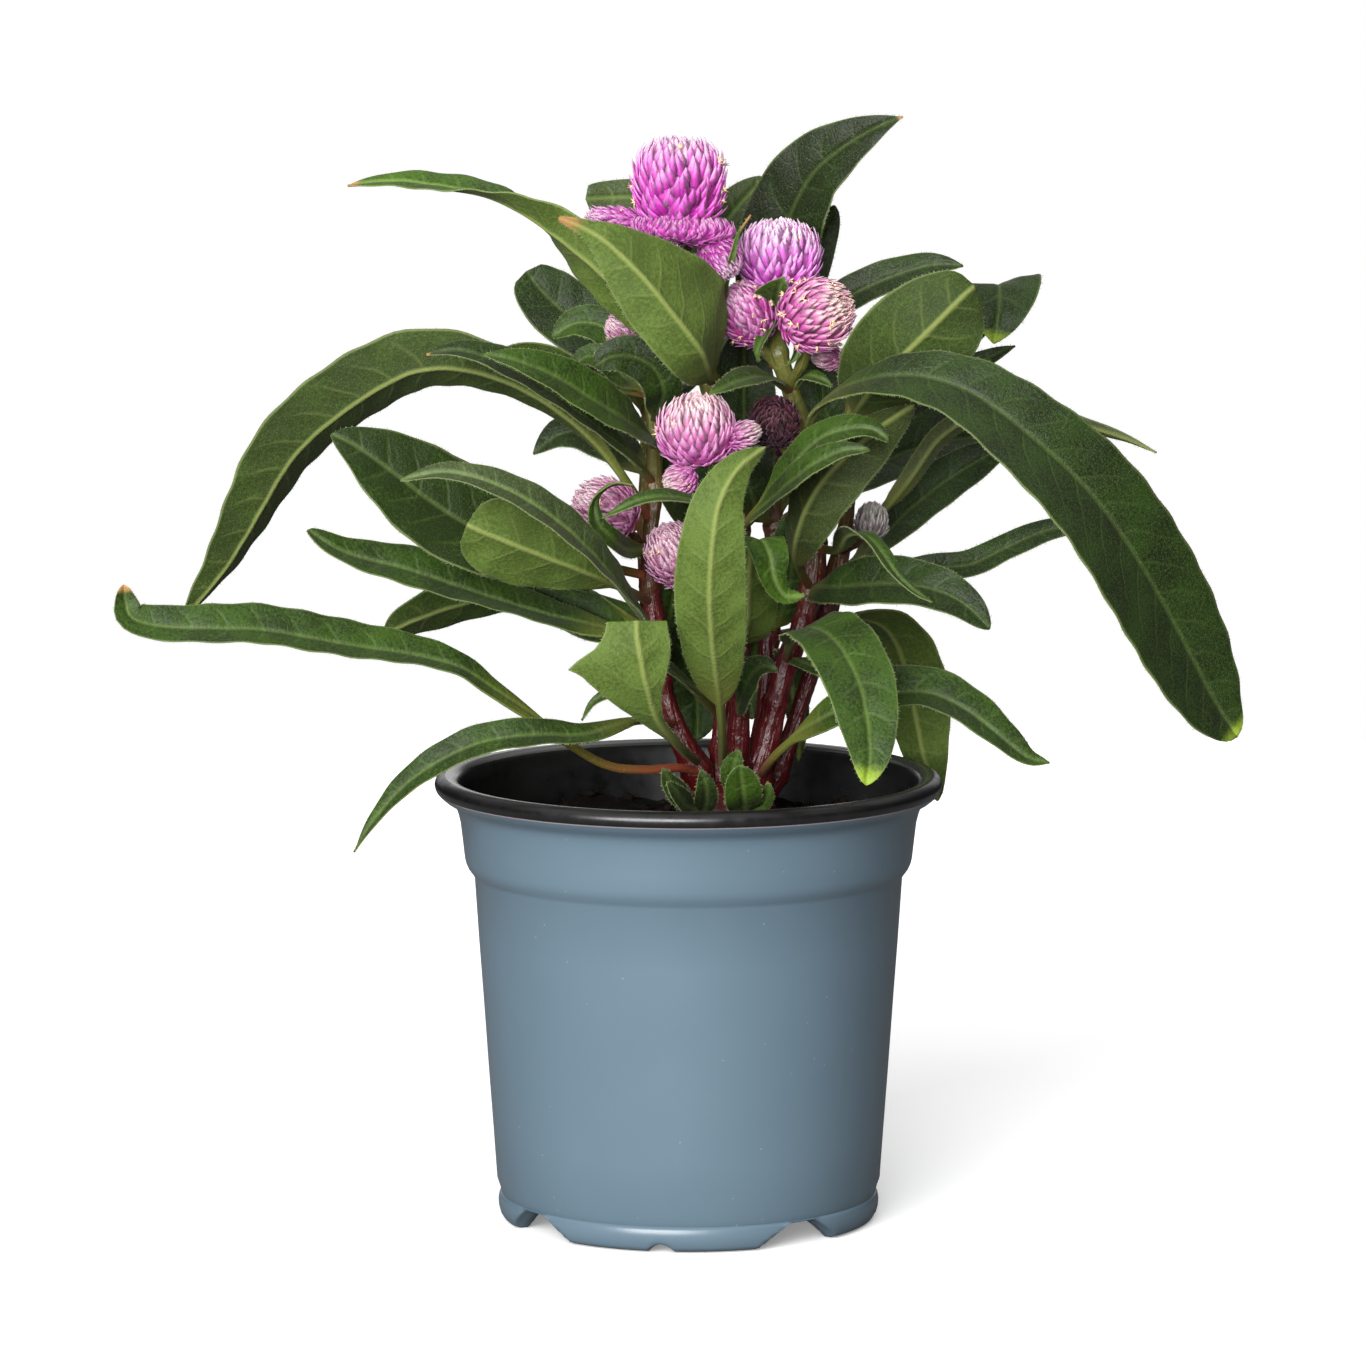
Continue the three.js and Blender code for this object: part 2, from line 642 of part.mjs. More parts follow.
        width: 6, stalk: 0.4, full: 0.9, blunt: 0.8, face: [[0.2, -0.5, 0.8]], fold: 14,
      },
    ],
  },
  leaf_round_left_bloom: {
    colour: 'middle',
    blades: [
      {
        course: [[10.5, 170, -9], [3, 170.5, -24], [-4, 172, -30], [-11, 171.3, -33], [-17, 168.5, -34],
          [-20.5, 167, -33]],
        width: 6, stalk: 0.15, full: 0.8, blunt: 0.8, face: [[0, -0.5, 0.9]], fold: 14,
      },
    ],
  },
  leaf_under_left_bloom: {
    colour: 'middle',
    blades: [
      {
        course: [[-9, 160, 2], [-13.5, 159.5, -13], [-17, 161.3, -25], [-21.5, 165.5, -28],
          [-22, 171, -27], [-18, 174.7, -25], [-13, 174.3, -24]],
        width: 5, stalk: 0.15, full: 0.7, blunt: 0.8,
        face: [[0, -0.6, 0.8], [0.9, -0.4, 0.1], [0, -0.3, -0.9]], fold: 10,
      },
    ],
  },
  leaf_pair_small_centre: {
    colour: 'middle',
    blades: [
      {
        course: [[24, 197, 7], [18, 200.5, -11], [12, 199.5, -21], [5, 196.2, -29]],
        width: 7, stalk: 0.2, full: 0.9, blunt: 0.8, face: [[0, -0.7, 0.7]], fold: 14,
      },
      {
        course: [[24, 197, 7], [27, 200.3, 3], [30.5, 199.8, 0], [33.8, 198, -1]],
        width: 4, stalk: 0.2, full: 0.9, blunt: 0.8, face: [[0, -0.6, 0.8]], fold: 12,
      },
    ],
  },
  shoot_base_left: {
    colour: 'dark',
    blades: [
      {
        course: [[3, 96, -5], [-1, 99.5, -13], [-4.5, 104, -17], [-6, 107.3, -18]],
        width: 5.5, stalk: 0.2, full: 0.9, blunt: 0.7, face: [[0, -0.9, 0.5]], fold: 12,
      },
      {
        course: [[3, 96, -5], [0, 98.5, -17], [-2.5, 101, -23], [-5, 104, -26]],
        width: 5, stalk: 0.3, full: 0.9, blunt: 0.7, face: [[0, -0.9, 0.5]], fold: 12,
      },
      {
        course: [[3, 96, -5], [4, 99, -13], [4, 103, -17], [3, 107, -18]],
        width: 5.5, stalk: 0.2, full: 0.9, blunt: 0.7, face: [[0, -0.9, 0.5]], fold: 12,
      },
    ],
  },
  shoot_base_right: {
    colour: 'middle',
    blades: [
      {
        course: [[13, 96, -5], [13, 99, -15], [12.7, 103, -19], [12, 108, -21]],
        width: 9, stalk: 0.2, full: 0.8, blunt: 0.5, face: [[0, -0.9, 0.5]], fold: 12,
      },
      {
        course: [[13, 96, -5], [11, 103, -10], [10.5, 107.5, -12], [12, 111.6, -13]],
        width: 6, stalk: 0.3, full: 0.9, blunt: 0.7, face: [[0, -0.9, 0.5]], fold: 12,
      },
      {
        course: [[13, 96, -5], [17, 98.5, -12], [18.7, 101.5, -15], [18.7, 104, -16]],
        width: 4, stalk: 0.3, full: 0.9, blunt: 0.7, face: [[0, -0.9, 0.5]], fold: 10,
      },
    ],
  },
  leaf_pair_back_low_left: {
    colour: 'middle',
    blades: [
      {
        course: [[-8, 137, 28], [-22, 142, 41], [-36, 146.5, 52], [-51, 147.5, 60], [-66, 144.5, 65]],
        width: 15, stalk: 0.14, full: 0.9, blunt: 0.6, face: [[0, 0.2, 1], [-0.2, 0.5, 0.9]], fold: 14,
        wave: 0.8,
      },
      {
        course: [[-8, 137, 28], [-4, 143, 42], [0, 145, 54], [4, 139, 64], [6, 129, 69]],
        width: 16, stalk: 0.14, full: 0.9, blunt: 0.6, face: [[0, -0.2, 1], [0, 0.8, 0.6]], fold: 14,
        wave: 0.8,
      },
      {
        course: [[-8, 137, 28], [-3, 137, 36], [0.5, 131, 40], [2, 123, 41], [2, 114, 40]],
        width: 14, stalk: 0.12, full: 0.8, blunt: 0.6, face: [[0, -1, 0.3]], fold: 10,
      },
      {
        course: [[-8, 137, 28], [-5, 142, 22], [-3.5, 149, 20], [-3, 157, 20]],
        width: 9, stalk: 0.12, full: 0.8, blunt: 0.6, face: [[0, -1, 0.2]], fold: 10,
      },
    ],
  },
  leaf_pair_back_left: {
    colour: 'dark',
    blades: [
      {
        course: [[-10, 166, 35], [-22, 162, 46], [-36, 163.5, 55], [-52, 169, 61], [-66, 177, 64]],
        width: 17, stalk: 0.14, full: 0.9, blunt: 0.6, face: [[0, -0.1, 1], [-0.1, 0.2, 1]], fold: 14,
        wave: 0.8,
      },
      {
        course: [[-10, 166, 35], [-7, 173, 46], [-3, 176, 57], [1, 171, 66], [3, 161, 70]],
        width: 16, stalk: 0.14, full: 0.9, blunt: 0.6, face: [[0, -0.2, 1], [0, 0.8, 0.6]], fold: 14,
        wave: 0.8,
      },
    ],
  },
  leaf_pair_back_low_right: {
    colour: 'middle',
    blades: [
      {
        course: [[19, 139, 30], [29, 140, 44], [38, 134, 55], [43, 123, 62], [46, 110, 66]],
        width: 15, stalk: 0.14, full: 0.9, blunt: 0.6, face: [[0, 0.1, 1], [0.3, 0.8, 0.5]], fold: 14,
        wave: 0.8,
      },
      {
        course: [[19, 139, 30], [15, 148, 43], [13, 153, 54], [14, 152, 64], [16, 145, 70]],
        width: 14, stalk: 0.14, full: 0.9, blunt: 0.6, face: [[0, -0.4, 1], [0, 0.5, 1]], fold: 14,
        wave: 0.8,
      },
      {
        course: [[19, 139, 30], [22, 145, 25], [24, 153, 22], [24, 161, 21], [23.5, 168, 21]],
        width: 11, stalk: 0.12, full: 0.7, blunt: 0.6, face: [[0, -1, 0.2]], fold: 10,
      },
      {
        course: [[19, 139, 30], [16, 137, 36], [14.5, 129, 39], [15, 119, 38]],
        width: 8, stalk: 0.12, full: 0.8, blunt: 0.6, face: [[0, -1, 0.3]], fold: 10,
      },
    ],
  },
  leaf_pair_back_right: {
    colour: 'dark',
    blades: [
      {
        course: [[20, 165, 37], [36, 175, 49], [54, 184, 56], [74, 186, 61], [92, 177, 64],
          [103, 164, 65]],
        width: 19, stalk: 0.12, full: 0.8, blunt: 0.6, face: [[-0.2, -0.8, 0.6], [0.2, -0.6, 0.8]],
        fold: 14, wave: 0.8,
      },
      {
        course: [[20, 165, 37], [24, 175, 49], [27, 178, 59], [29, 172, 67], [30, 162, 71]],
        width: 14, stalk: 0.14, full: 0.9, blunt: 0.6, face: [[0, -0.2, 1], [0, 0.8, 0.6]], fold: 14,
        wave: 0.8,
      },
      {
        course: [[20, 165, 37], [16, 169, 28], [13.5, 178, 25], [13, 189, 25], [13, 200, 25],
          [13, 211, 25]],
        width: 16, stalk: 0.12, full: 0.7, blunt: 0.45, face: [[0, -1, 0.2]], fold: 10,
      },
    ],
  },
  leaf_pair_back_top: {
    colour: 'light',
    blades: [
      {
        course: [[-9, 189, 40], [-13, 199, 50], [-17, 209, 57], [-20, 218, 60], [-22, 226, 60]],
        width: 13, stalk: 0.14, full: 0.9, blunt: 0.6, face: [[0.2, -0.9, 0.3], [0.2, -0.9, 0.4]],
        fold: 12,
        wave: 0.6,
      },
      {
        course: [[-9, 189, 40], [-1, 200, 51], [6, 208, 60], [11, 211, 67], [16, 209, 71]],
        width: 15, stalk: 0.14, full: 0.9, blunt: 0.6, face: [[0, -0.5, 1], [0, 0.3, 1]], fold: 12,
        wave: 0.6,
      },
    ],
  },
};

const BRACT_COLOURS = {
  magenta: '#c94fb4',
  pink: '#d778c4',
  pale: '#e7b2d6',
  dusky: '#b5688f',
  maroon: '#4a1626',
  wilted: '#8f8086',
};

// Heads: each a bloom of overlapping bracts. towards: the way its top looks. round: 2 is an egg, more is
// squarer at the shoulders. rows and around: how many rows of bracts, and how many bracts in a row.
const BLOOMS = {
  bloom_top: {
    colour: 'magenta',
    heads: [
      {
        centre: [-2.3, 245, -0.5], width: 22, height: 23,
        towards: [0, 0, 1],
        round: 2.7, rows: 8, around: 10,
      },
      {
        centre: [-1.5, 235, -1], width: 25, height: 8,
        towards: [0.05, 0, 1],
        round: 2, rows: 3, around: 10,
      },
      {
        centre: [-16, 236.8, 5], width: 7, height: 17,
        towards: [-1, 0, 0.12],
        round: 2, rows: 5, around: 6,
      },
      {
        centre: [7.3, 228.3, -4], width: 10.5, height: 11.5,
        towards: [0.5, -0.4, -0.6],
        round: 2, rows: 4, around: 7,
      },
    ],
  },
  bloom_upper_right: {
    colour: 'magenta',
    heads: [
      {
        centre: [21.4, 228.4, 7], width: 20, height: 17.5,
        towards: [0.05, -0.1, 1],
        round: 2.4, rows: 6, around: 9,
      },
    ],
  },
  bloom_right_round: {
    colour: 'pink',
    heads: [
      {
        centre: [29.6, 214.7, -7], width: 17.5, height: 18.5,
        towards: [0.85, -0.5, 0.35],
        round: 2.2, rows: 6, around: 9,
      },
    ],
  },
  bloom_half_hidden: {
    colour: 'dusky',
    heads: [
      {
        centre: [13.7, 214.8, 3.5], width: 14.5, height: 16,
        towards: [-0.5, -0.5, 0.7],
        round: 2.2, rows: 6, around: 9,
      },
    ],
  },
  bloom_centre: {
    colour: 'pale',
    heads: [
      {
        centre: [1.9, 188.3, -16], width: 19, height: 18,
        towards: [-0.05, -0.3, 1],
        round: 2.3, rows: 6, around: 9,
      },
      {
        centre: [12.3, 186.3, -17], width: 7, height: 10,
        towards: [0.9, -0.2, 0.35],
        round: 2, rows: 4, around: 6,
      },
      {
        centre: [-1.6, 176, -17.5], width: 8, height: 9,
        towards: [-0.8, -0.3, -0.25],
        round: 2, rows: 4, around: 7,
      },
    ],
  },
  bloom_left: {
    colour: 'dusky',
    heads: [
      {
        centre: [-19.3, 169.7, -13], width: 15, height: 17,
        towards: [-0.8, -0.3, 0.45],
        round: 2.2, rows: 6, around: 9,
      },
    ],
  },
  bloom_behind_leaf: {
    colour: 'dusky',
    heads: [
      {
        centre: [-2.8, 158, -11], width: 15, height: 16,
        towards: [-0.4, -0.5, 0.75],
        round: 2.2, rows: 6, around: 9,
      },
    ],
  },
  bloom_small_right: {
    colour: 'dusky',
    heads: [
      {
        centre: [38.6, 203.8, 5.5], width: 7.5, height: 10,
        towards: [0.1, -0.2, 1],
        round: 2, rows: 4, around: 7,
      },
      {
        centre: [33.3, 204.6, 5], width: 6, height: 9,
        towards: [-1, -0.2, 0.1],
        round: 2, rows: 4, around: 6,
      },
    ],
  },
  bloom_left_small: {
    colour: 'dusky',
    heads: [
      {
        centre: [-15.2, 211.3, 4], width: 9, height: 9,
        towards: [-0.7, -0.4, 0.4],
        round: 2, rows: 4, around: 7,
      },
    ],
  },
  bloom_wilted: {
    colour: 'wilted',
    heads: [
      {
        centre: [43, 165.6, 2], width: 8.5, height: 10.5,
        towards: [0.1, -0.3, 1],
        round: 2, rows: 4, around: 7,
      },
    ],
  },
  bloom_maroon: {
    colour: 'maroon',
    heads: [
      {
        centre: [20, 189.5, -4], width: 12.5, height: 12,
        towards: [0, -0.6, 0.7],
        round: 2.2, rows: 6, around: 8,
      },
    ],
  },
  bloom_back_left: {
    colour: 'pink',
    heads: [
      {
        centre: [-8, 203, 43], width: 16, height: 16,
        towards: [-0.1, 0.3, 1],
        round: 2.3, rows: 6, around: 9,
      },
    ],
  },
  bloom_back_right: {
    colour: 'pink',
    heads: [
      {
        centre: [21, 186, 49], width: 14, height: 14,
        towards: [0.2, 0.8, 0.7],
        round: 2.3, rows: 6, around: 9,
      },
    ],
  },
};

// A closed mesh as a solid: shared corners merged, empty triangles dropped, faces turned out.
function toSolid(geometry) {
  const bare = new THREE.BufferGeometry();
  bare.setAttribute('position', geometry.getAttribute('position'));
  bare.setIndex(geometry.index);
  const merged = mergeVertices(bare, 1e-4);
  const corners = merged.index.array;
  const kept = [];
  for (let i = 0; i < corners.length; i += 3) {
    const [a, b, c] = [corners[i], corners[i + 1], corners[i + 2]];
    if (a !== b && b !== c && c !== a) {
      kept.push([a, b, c]);
    }
  }
  const build = (triangles) => new wasm.Manifold(new wasm.Mesh({
    numProp: 3,
    vertProperties: new Float32Array(merged.attributes.position.array),
    triVerts: new Uint32Array(triangles.flat()),
  }));
  const solid = build(kept);
  return solid.volume() > 0 ? solid : build(kept.map(([a, b, c]) => [a, c, b]));
}

function toGeometry(solid) {
  const mesh = solid.getMesh();
  const geometry = new THREE.BufferGeometry();
  geometry.setAttribute('position', new THREE.BufferAttribute(new Float32Array(mesh.vertProperties), 3));
  geometry.setIndex(new THREE.BufferAttribute(new Uint32Array(mesh.triVerts), 1));
  geometry.computeVertexNormals();
  return geometry;
}

function fuse(solids) {
  return solids.reduce((whole, solid) => whole.add(solid));
}

// The largest body of a cut solid, without the scraps that a cut can leave, and without slivers.
function mainBody(solid) {
  const bodies = solid.simplify(0.05).decompose();
  return bodies.reduce((best, body) => (body.volume() > best.volume() ? body : best));
}

// One seeded draw after another, each from 0 to 1.
function seededRandom(seed) {
  let state = seed;
  return () => {
    state = (state * 1664525 + 1013904223) % 4294967296;
    return state / 4294967296;
  };
}

function turned(profile, sides) {
  const outline = profile.map(([radius, height]) => new THREE.Vector2(radius, height));
  const geometry = new THREE.LatheGeometry(outline, sides);
  geometry.rotateX(Math.PI / 2);
  return toSolid(geometry);
}

function innerRadius(height) {
  for (let i = 1; i < WALL_COURSE.length; i += 1) {
    const [lowRadius, low] = WALL_COURSE[i - 1];
    const [highRadius, high] = WALL_COURSE[i];
    if (height <= high) {
      const share = Math.max(0, (height - low) / (high - low));
      return lowRadius + (highRadius - lowRadius) * share - WALL_THICKNESS;
    }
  }
  return WALL_COURSE[WALL_COURSE.length - 1][0] - WALL_THICKNESS;
}

// A wedge that runs outwards under the pot's floor and cuts through the ring of the feet.
function footCut(outline, degrees) {
  const shape = new THREE.Shape(outline.map(([across, height]) => new THREE.Vector2(across, height)));
  const geometry = new THREE.ExtrudeGeometry(shape, { depth: 30, bevelEnabled: false, curveSegments: 6 });
  geometry.rotateX(Math.PI / 2);
  geometry.translate(0, -25, 0);
  geometry.rotateZ(THREE.MathUtils.degToRad(degrees));
  return toSolid(geometry);
}

function footRing() {
  const top = FLOOR_UNDERSIDE + 0.6;
  const profile = [[40.2, 0], [43.4, 0], [44.4, 3], [44.5, top], [40.6, top], [39.8, 3], [40.2, 0]];
  let ring = turned(profile, POT_SIDES);
  const between = [[-12.1, -1], [12.1, -1], [3.1, FLOOR_UNDERSIDE + 0.2], [-3.1, FLOOR_UNDERSIDE + 0.2]];
  const notch = [[-3.8, -1], [3.8, -1], [3.6, 0.8], [2.4, 1.8], [0, 2.2], [-2.4, 1.8], [-3.6, 0.8]];
  for (let i = 0; i < FOOT_COUNT; i += 1) {
    const degrees = FOOT_TURN + (i * 360) / FOOT_COUNT;
    ring = ring.subtract(footCut(notch, degrees));
    ring = ring.subtract(footCut(between, degrees + 180 / FOOT_COUNT));
  }
  return ring;
}

function pot() {
  const inside = WALL_COURSE.slice(1).reverse();
  const profile = [
    [0, FLOOR_UNDERSIDE],
    [43.6, FLOOR_UNDERSIDE],
    ...WALL_COURSE,
    ...RIM_COURSE,
    [54.2, 104],
    ...inside.map(([radius, height]) => [radius - WALL_THICKNESS, height]),
    [43.6, FLOOR_TOP],
    [0, FLOOR_TOP],
  ];
  let body = turned(profile, POT_SIDES).add(footRing());
  for (let i = 0; i < 4; i += 1) {
    const hole = new THREE.CylinderGeometry(4, 4, 10, 8);
    hole.rotateX(Math.PI / 2);
    hole.translate(28, 0, FLOOR_TOP);
    hole.rotateZ((i * Math.PI) / 2);
    body = body.subtract(toSolid(hole));
  }
  return body;
}

// A lumpy top, walls that follow the inside of the pot, and a flat bottom just over its floor.
function soil(stemClearance) {
  const random = seededRandom(7);
  const sides = 20;
  const rings = [[0, FLOOR_TOP + GAP], [innerRadius(8) - GAP - 1, FLOOR_TOP + GAP]];
  [12, 81, 87.5, SOIL_TOP - 0.5].forEach((height) => rings.push([innerRadius(height) - 2 * GAP, height]));
  const topRings = [42, 30, 18, 8];
  const positions = [];
  const addRing = (radius, height, rough) => {
    for (let j = 0; j < sides; j += 1) {
      const angle = (j / sides) * 2 * Math.PI;
      const bump = rough * (random() - 0.5) * 2;
      positions.push(radius * Math.cos(angle), radius * Math.sin(angle), height + bump);
    }
  };
  rings.slice(1).forEach(([radius, height]) => addRing(radius, height, 0));
  topRings.forEach((radius) => addRing(radius, SOIL_TOP, SOIL_ROUGHNESS));
  const ringCount = rings.length - 1 + topRings.length;
  positions.push(0, 0, FLOOR_TOP + GAP, 0, 0, SOIL_TOP);
  const bottom = ringCount * sides;
  const triangles = [];
  for (let j = 0; j < sides; j += 1) {
    const next = (j + 1) % sides;
    const last = (ringCount - 1) * sides;
    triangles.push(bottom, next, j, bottom + 1, last + j, last + next);
    for (let i = 0; i < ringCount - 1; i += 1) {
      const low = i * sides;
      const high = low + sides;
      triangles.push(low + j, low + next, high + j, low + next, high + next, high + j);
    }
  }
  const geometry = new THREE.BufferGeometry();
  geometry.setAttribute('position', new THREE.Float32BufferAttribute(positions, 3));
  geometry.setIndex(triangles);
  return mainBody(toSolid(geometry).subtract(stemClearance));
}

// A tube of changing radius along a course of [across, up, behind, radius], made wider by extra.
function stem(course, extra) {
  const curve = new THREE.CatmullRomCurve3(course.map(place), false, 'catmullrom', 0.5);
  const steps = course.length - 1;
  const positions = [];
  const triangles = [];
  let side = new THREE.Vector3(1, 0.2, 0);
  for (let i = 0; i <= steps; i += 1) {
    const along = i / steps;
    const centre = place(course[i]);
    const tangent = curve.getTangent(along);
    if (i === 0) centre.addScaledVector(tangent, -extra);
    if (i === steps) centre.addScaledVector(tangent, extra);
    side = side.clone().projectOnPlane(tangent).normalize();
    const third = tangent.clone().cross(side);
    const radius = course[i][3] + extra;
    for (let j = 0; j < STEM_SIDES; j += 1) {
      const angle = (j / STEM_SIDES) * 2 * Math.PI;
      const rim = centre.clone();
      rim.addScaledVector(side, radius * Math.cos(angle));
      rim.addScaledVector(third, radius * Math.sin(angle));
      positions.push(...rim);
    }
  }
  const last = steps * STEM_SIDES;
  for (let j = 0; j < STEM_SIDES; j += 1) {
    const next = (j + 1) % STEM_SIDES;
    for (let low = 0; low < last; low += STEM_SIDES) {
      const high = low + STEM_SIDES;
      triangles.push(low + j, low + next, high + j, low + next, high + next, high + j);
    }
    if (j > 1) {
      triangles.push(0, j, j - 1, last, last + j - 1, last + j);
    }
  }
  const geometry = new THREE.BufferGeometry();
  geometry.setAttribute('position', new THREE.Float32BufferAttribute(positions, 3));
  geometry.setIndex(triangles);
  return toSolid(geometry);
}

function crown(extra) {
  const geometry = new THREE.SphereGeometry(1, 12, 8);
  geometry.rotateX(Math.PI / 2);
  const [wide, high, deep] = CROWN.half;
  geometry.scale(wide + extra, deep + extra, high + extra);
  geometry.translate(...place(CROWN.centre));
  return toSolid(geometry);
}

function stems(extra) {
  return fuse([crown(extra), ...Object.values(STEMS).map((course) => stem(course, extra))]);
}

function faceAt(face, along) {
  if (face.length === 1) {
    return new THREE.Vector3(...face[0]);
  }
  const step = Math.min(face.length - 2, Math.floor(along * (face.length - 1)));
  const share = along * (face.length - 1) - step;
  const here = new THREE.Vector3(...face[step]).normalize();
  const next = new THREE.Vector3(...face[step + 1]).normalize();
  return here.lerp(next, share);
}

function bladeWidth(along, { width, stalk, full, blunt }) {
  const onBlade = Math.max(0, (along - stalk) / (1 - stalk));
  const peak = full / (full + blunt);
  const most = peak ** full * (1 - peak) ** blunt;
  const swell = (onBlade ** full * (1 - onBlade) ** blunt) / most;
  return Math.max(TIP_WIDTH, STALK_WIDTH * (1 - onBlade) + (width - STALK_WIDTH * (1 - peak)) * swell);
}

// How far one edge of a leaf (-1 or 1) lies from its midrib.
function halfWidth(along, edge, leaf) {
  const { stalk, lean = [1, 1], halves } = leaf;
  const side = edge < 0 ? 0 : 1;
  if (!halves) {
    return (bladeWidth(along, leaf) / 2) * lean[side];
  }
  const widths = halves[side];
  const onBlade = Math.max(0, (along - stalk) / (1 - stalk)) * (widths.length - 1);
  const step = Math.min(widths.length - 2, Math.floor(onBlade));
  return widths[step] + (widths[step + 1] - widths[step]) * (onBlade - step);
}

// The stations of a course, closer together towards the tip. The upper side is carried along from the tip
// and drawn towards where the leaf's face looks, so it never turns suddenly.
function stations({ course, face, steps: given }) {
  const curve = new THREE.CatmullRomCurve3(course.map(place), false, 'catmullrom', 0.5);
  const wanted = Math.round(curve.getLength() / STATION_SPACING);
  const steps = given ?? THREE.MathUtils.clamp(wanted, 5, MOST_STATIONS);
  const found = [];
  let upper = new THREE.Vector3();
  for (let i = steps; i >= 0; i -= 1) {
    const along = 1 - (1 - i / steps) ** TIP_CROWDING;
    const tangent = curve.getTangentAt(along);
    upper = upper.clone().multiplyScalar(CARRIED_SHARE).add(faceAt(face, along));
    upper.projectOnPlane(tangent).normalize();
    found.unshift({ along, centre: curve.getPointAt(along), tangent, upper });
  }
  return found;
}

// One leaf: two halves folded about a midrib, each station with three places above and three below.
function blade(leaf) {
  const { stalk, fold, wave = 0 } = leaf;
  const angle = THREE.MathUtils.degToRad(fold);
  const positions = [];
  const found = stations(leaf);
  const steps = found.length - 1;
  found.forEach(({ along, centre, tangent, upper }) => {
    const side = tangent.clone().cross(upper);
    const onBlade = THREE.MathUtils.clamp((along - stalk) / 0.2, 0, 1);
    const thickness = STALK_THICKNESS + (BLADE_THICKNESS - STALK_THICKNESS) * onBlade;
    const sunk = (halfWidth(along, -1, leaf) + halfWidth(along, 1, leaf)) * 0.25 * Math.sin(angle) * onBlade;
    const ripple = wave * onBlade * Math.sin(Math.PI * along);
    const places = [-1, 0, 1].map((edge) => {
      const out = edge ? halfWidth(along, edge, leaf) : 0;
      const point = centre.clone().addScaledVector(side, edge * out * Math.cos(angle));
      const raised = out * Math.sin(angle) * onBlade - sunk;
      return point.addScaledVector(upper, raised + Math.abs(edge) * ripple * Math.sin(9 * along + 2 * edge));
    });
    [...places, ...places.slice().reverse()].forEach((point, k) => {
      const offset = k < 3 ? thickness / 2 : -thickness / 2;
      positions.push(...point.clone().addScaledVector(upper, offset));
    });
  });
  const triangles = [];
  const quad = (a, b, c, d) => triangles.push(a, b, c, a, c, d);
  for (let i = 0; i < steps; i += 1) {
    const near = i * 6;
    const far = near + 6;
    quad(near, near + 1, far + 1, far);
    quad(far + 1, near + 1, near + 2, far + 2);
    quad(near + 2, near + 3, far + 3, far + 2);
    quad(near + 3, near + 4, far + 4, far + 3);
    quad(near + 5, far + 5, far + 4, near + 4);
    quad(far + 5, near + 5, near, far);
  }
  [0, steps * 6].forEach((ring, end) => {
    const corners = [[0, 5, 4, 1], [1, 4, 3, 2]];
    corners.forEach(([a, b, c, d]) => (end ? quad(ring + a, ring + d, ring + c, ring + b)
      : quad(ring + a, ring + b, ring + c, ring + d)));
  });
  const geometry = new THREE.BufferGeometry();
  geometry.setAttribute('position', new THREE.Float32BufferAttribute(positions, 3));
  geometry.setIndex(triangles);
  return toSolid(geometry);
}

// The swelling that two or more stalks share, round the nearest control place of a stem.
function collar(leaf, extra) {
  const middle = place(leaf.blades[0].course[0]);
  const joints = Object.values(STEMS).flat();
  const distance = (joint) => place(joint).distanceTo(middle);
  const nearest = joints.reduce((best, joint) => (distance(joint) < distance(best) ? joint : best));
  const geometry = new THREE.OctahedronGeometry(nearest[3] + COLLAR_WALL + extra, 1);
  geometry.translate(...middle);
  return toSolid(geometry);
}

// One head: rings of furrows in staggered rows, with a raised bract tip over each lozenge between them.
function head({ centre, width, height, towards, round, rows, around }) {
  const axis = new THREE.Vector3(...towards).normalize();
  const side = new THREE.Vector3(0.3, -1, 0.2).projectOnPlane(axis).normalize();
  const third = axis.clone().cross(side);
  const middle = place(centre);
  const lift = Math.min(BRACT_LIFT, width * 0.1);
  const positions = [];
  const addPoint = (level, turn, out) => {
    const drop = Math.abs(2 * level - 1) ** round;
    const radius = (width / 2 - lift) * (1 - drop) ** (1 / round) + out;
    const angle = (turn / around) * 2 * Math.PI;
    const point = middle.clone().addScaledVector(axis, (level - 0.5) * (height - lift) + out * 0.5);
    point.addScaledVector(side, radius * Math.cos(angle));
    point.addScaledVector(third, radius * Math.sin(angle));
    positions.push(...point);
    return positions.length / 3 - 1;
  };
  const levels = [];
  const furrows = [];
  for (let i = 0; i <= rows; i += 1) {
    levels.push(0.5 - 0.5 * Math.cos(Math.PI * ((i + 0.5) / (rows + 1))));
    furrows.push([]);
    for (let j = 0; j < around; j += 1) {
      furrows[i].push(addPoint(levels[i], j + (i % 2) / 2, 0));
    }
  }
  const at = (i, j) => furrows[i][(j + around) % around];
  const foot = addPoint(0, 0, 0);
  const top = addPoint(1, 0, 0);
  const triangles = [];
  for (let j = 0; j < around; j += 1) {
    const shift = rows % 2;
    triangles.push(foot, at(0, j + 1), at(0, j));
    triangles.push(at(0, j), at(0, j + 1), at(1, j));
    triangles.push(at(rows, j), at(rows - 1, j + shift), at(rows, j + 1));
    triangles.push(top, at(rows, j), at(rows, j + 1));
  }
  for (let i = 0; i + 2 <= rows; i += 1) {
    for (let j = 0; j < around; j += 1) {
      const odd = i % 2;
      const low = at(i, j);
      const left = at(i + 1, j - 1 + odd);
      const right = at(i + 1, j + odd);
      const high = at(i + 2, j);
      const level = levels[i + 1] * 0.35 + levels[i + 2] * 0.65;
      const tip = addPoint(level, j + odd / 2, lift);
      triangles.push(low, right, tip, right, high, tip, high, left, tip, left, low, tip);
    }
  }
  const geometry = new THREE.BufferGeometry();
  geometry.setAttribute('position', new THREE.Float32BufferAttribute(positions, 3));
  geometry.setIndex(triangles);
  return toSolid(geometry);
}

const group = new THREE.Group();

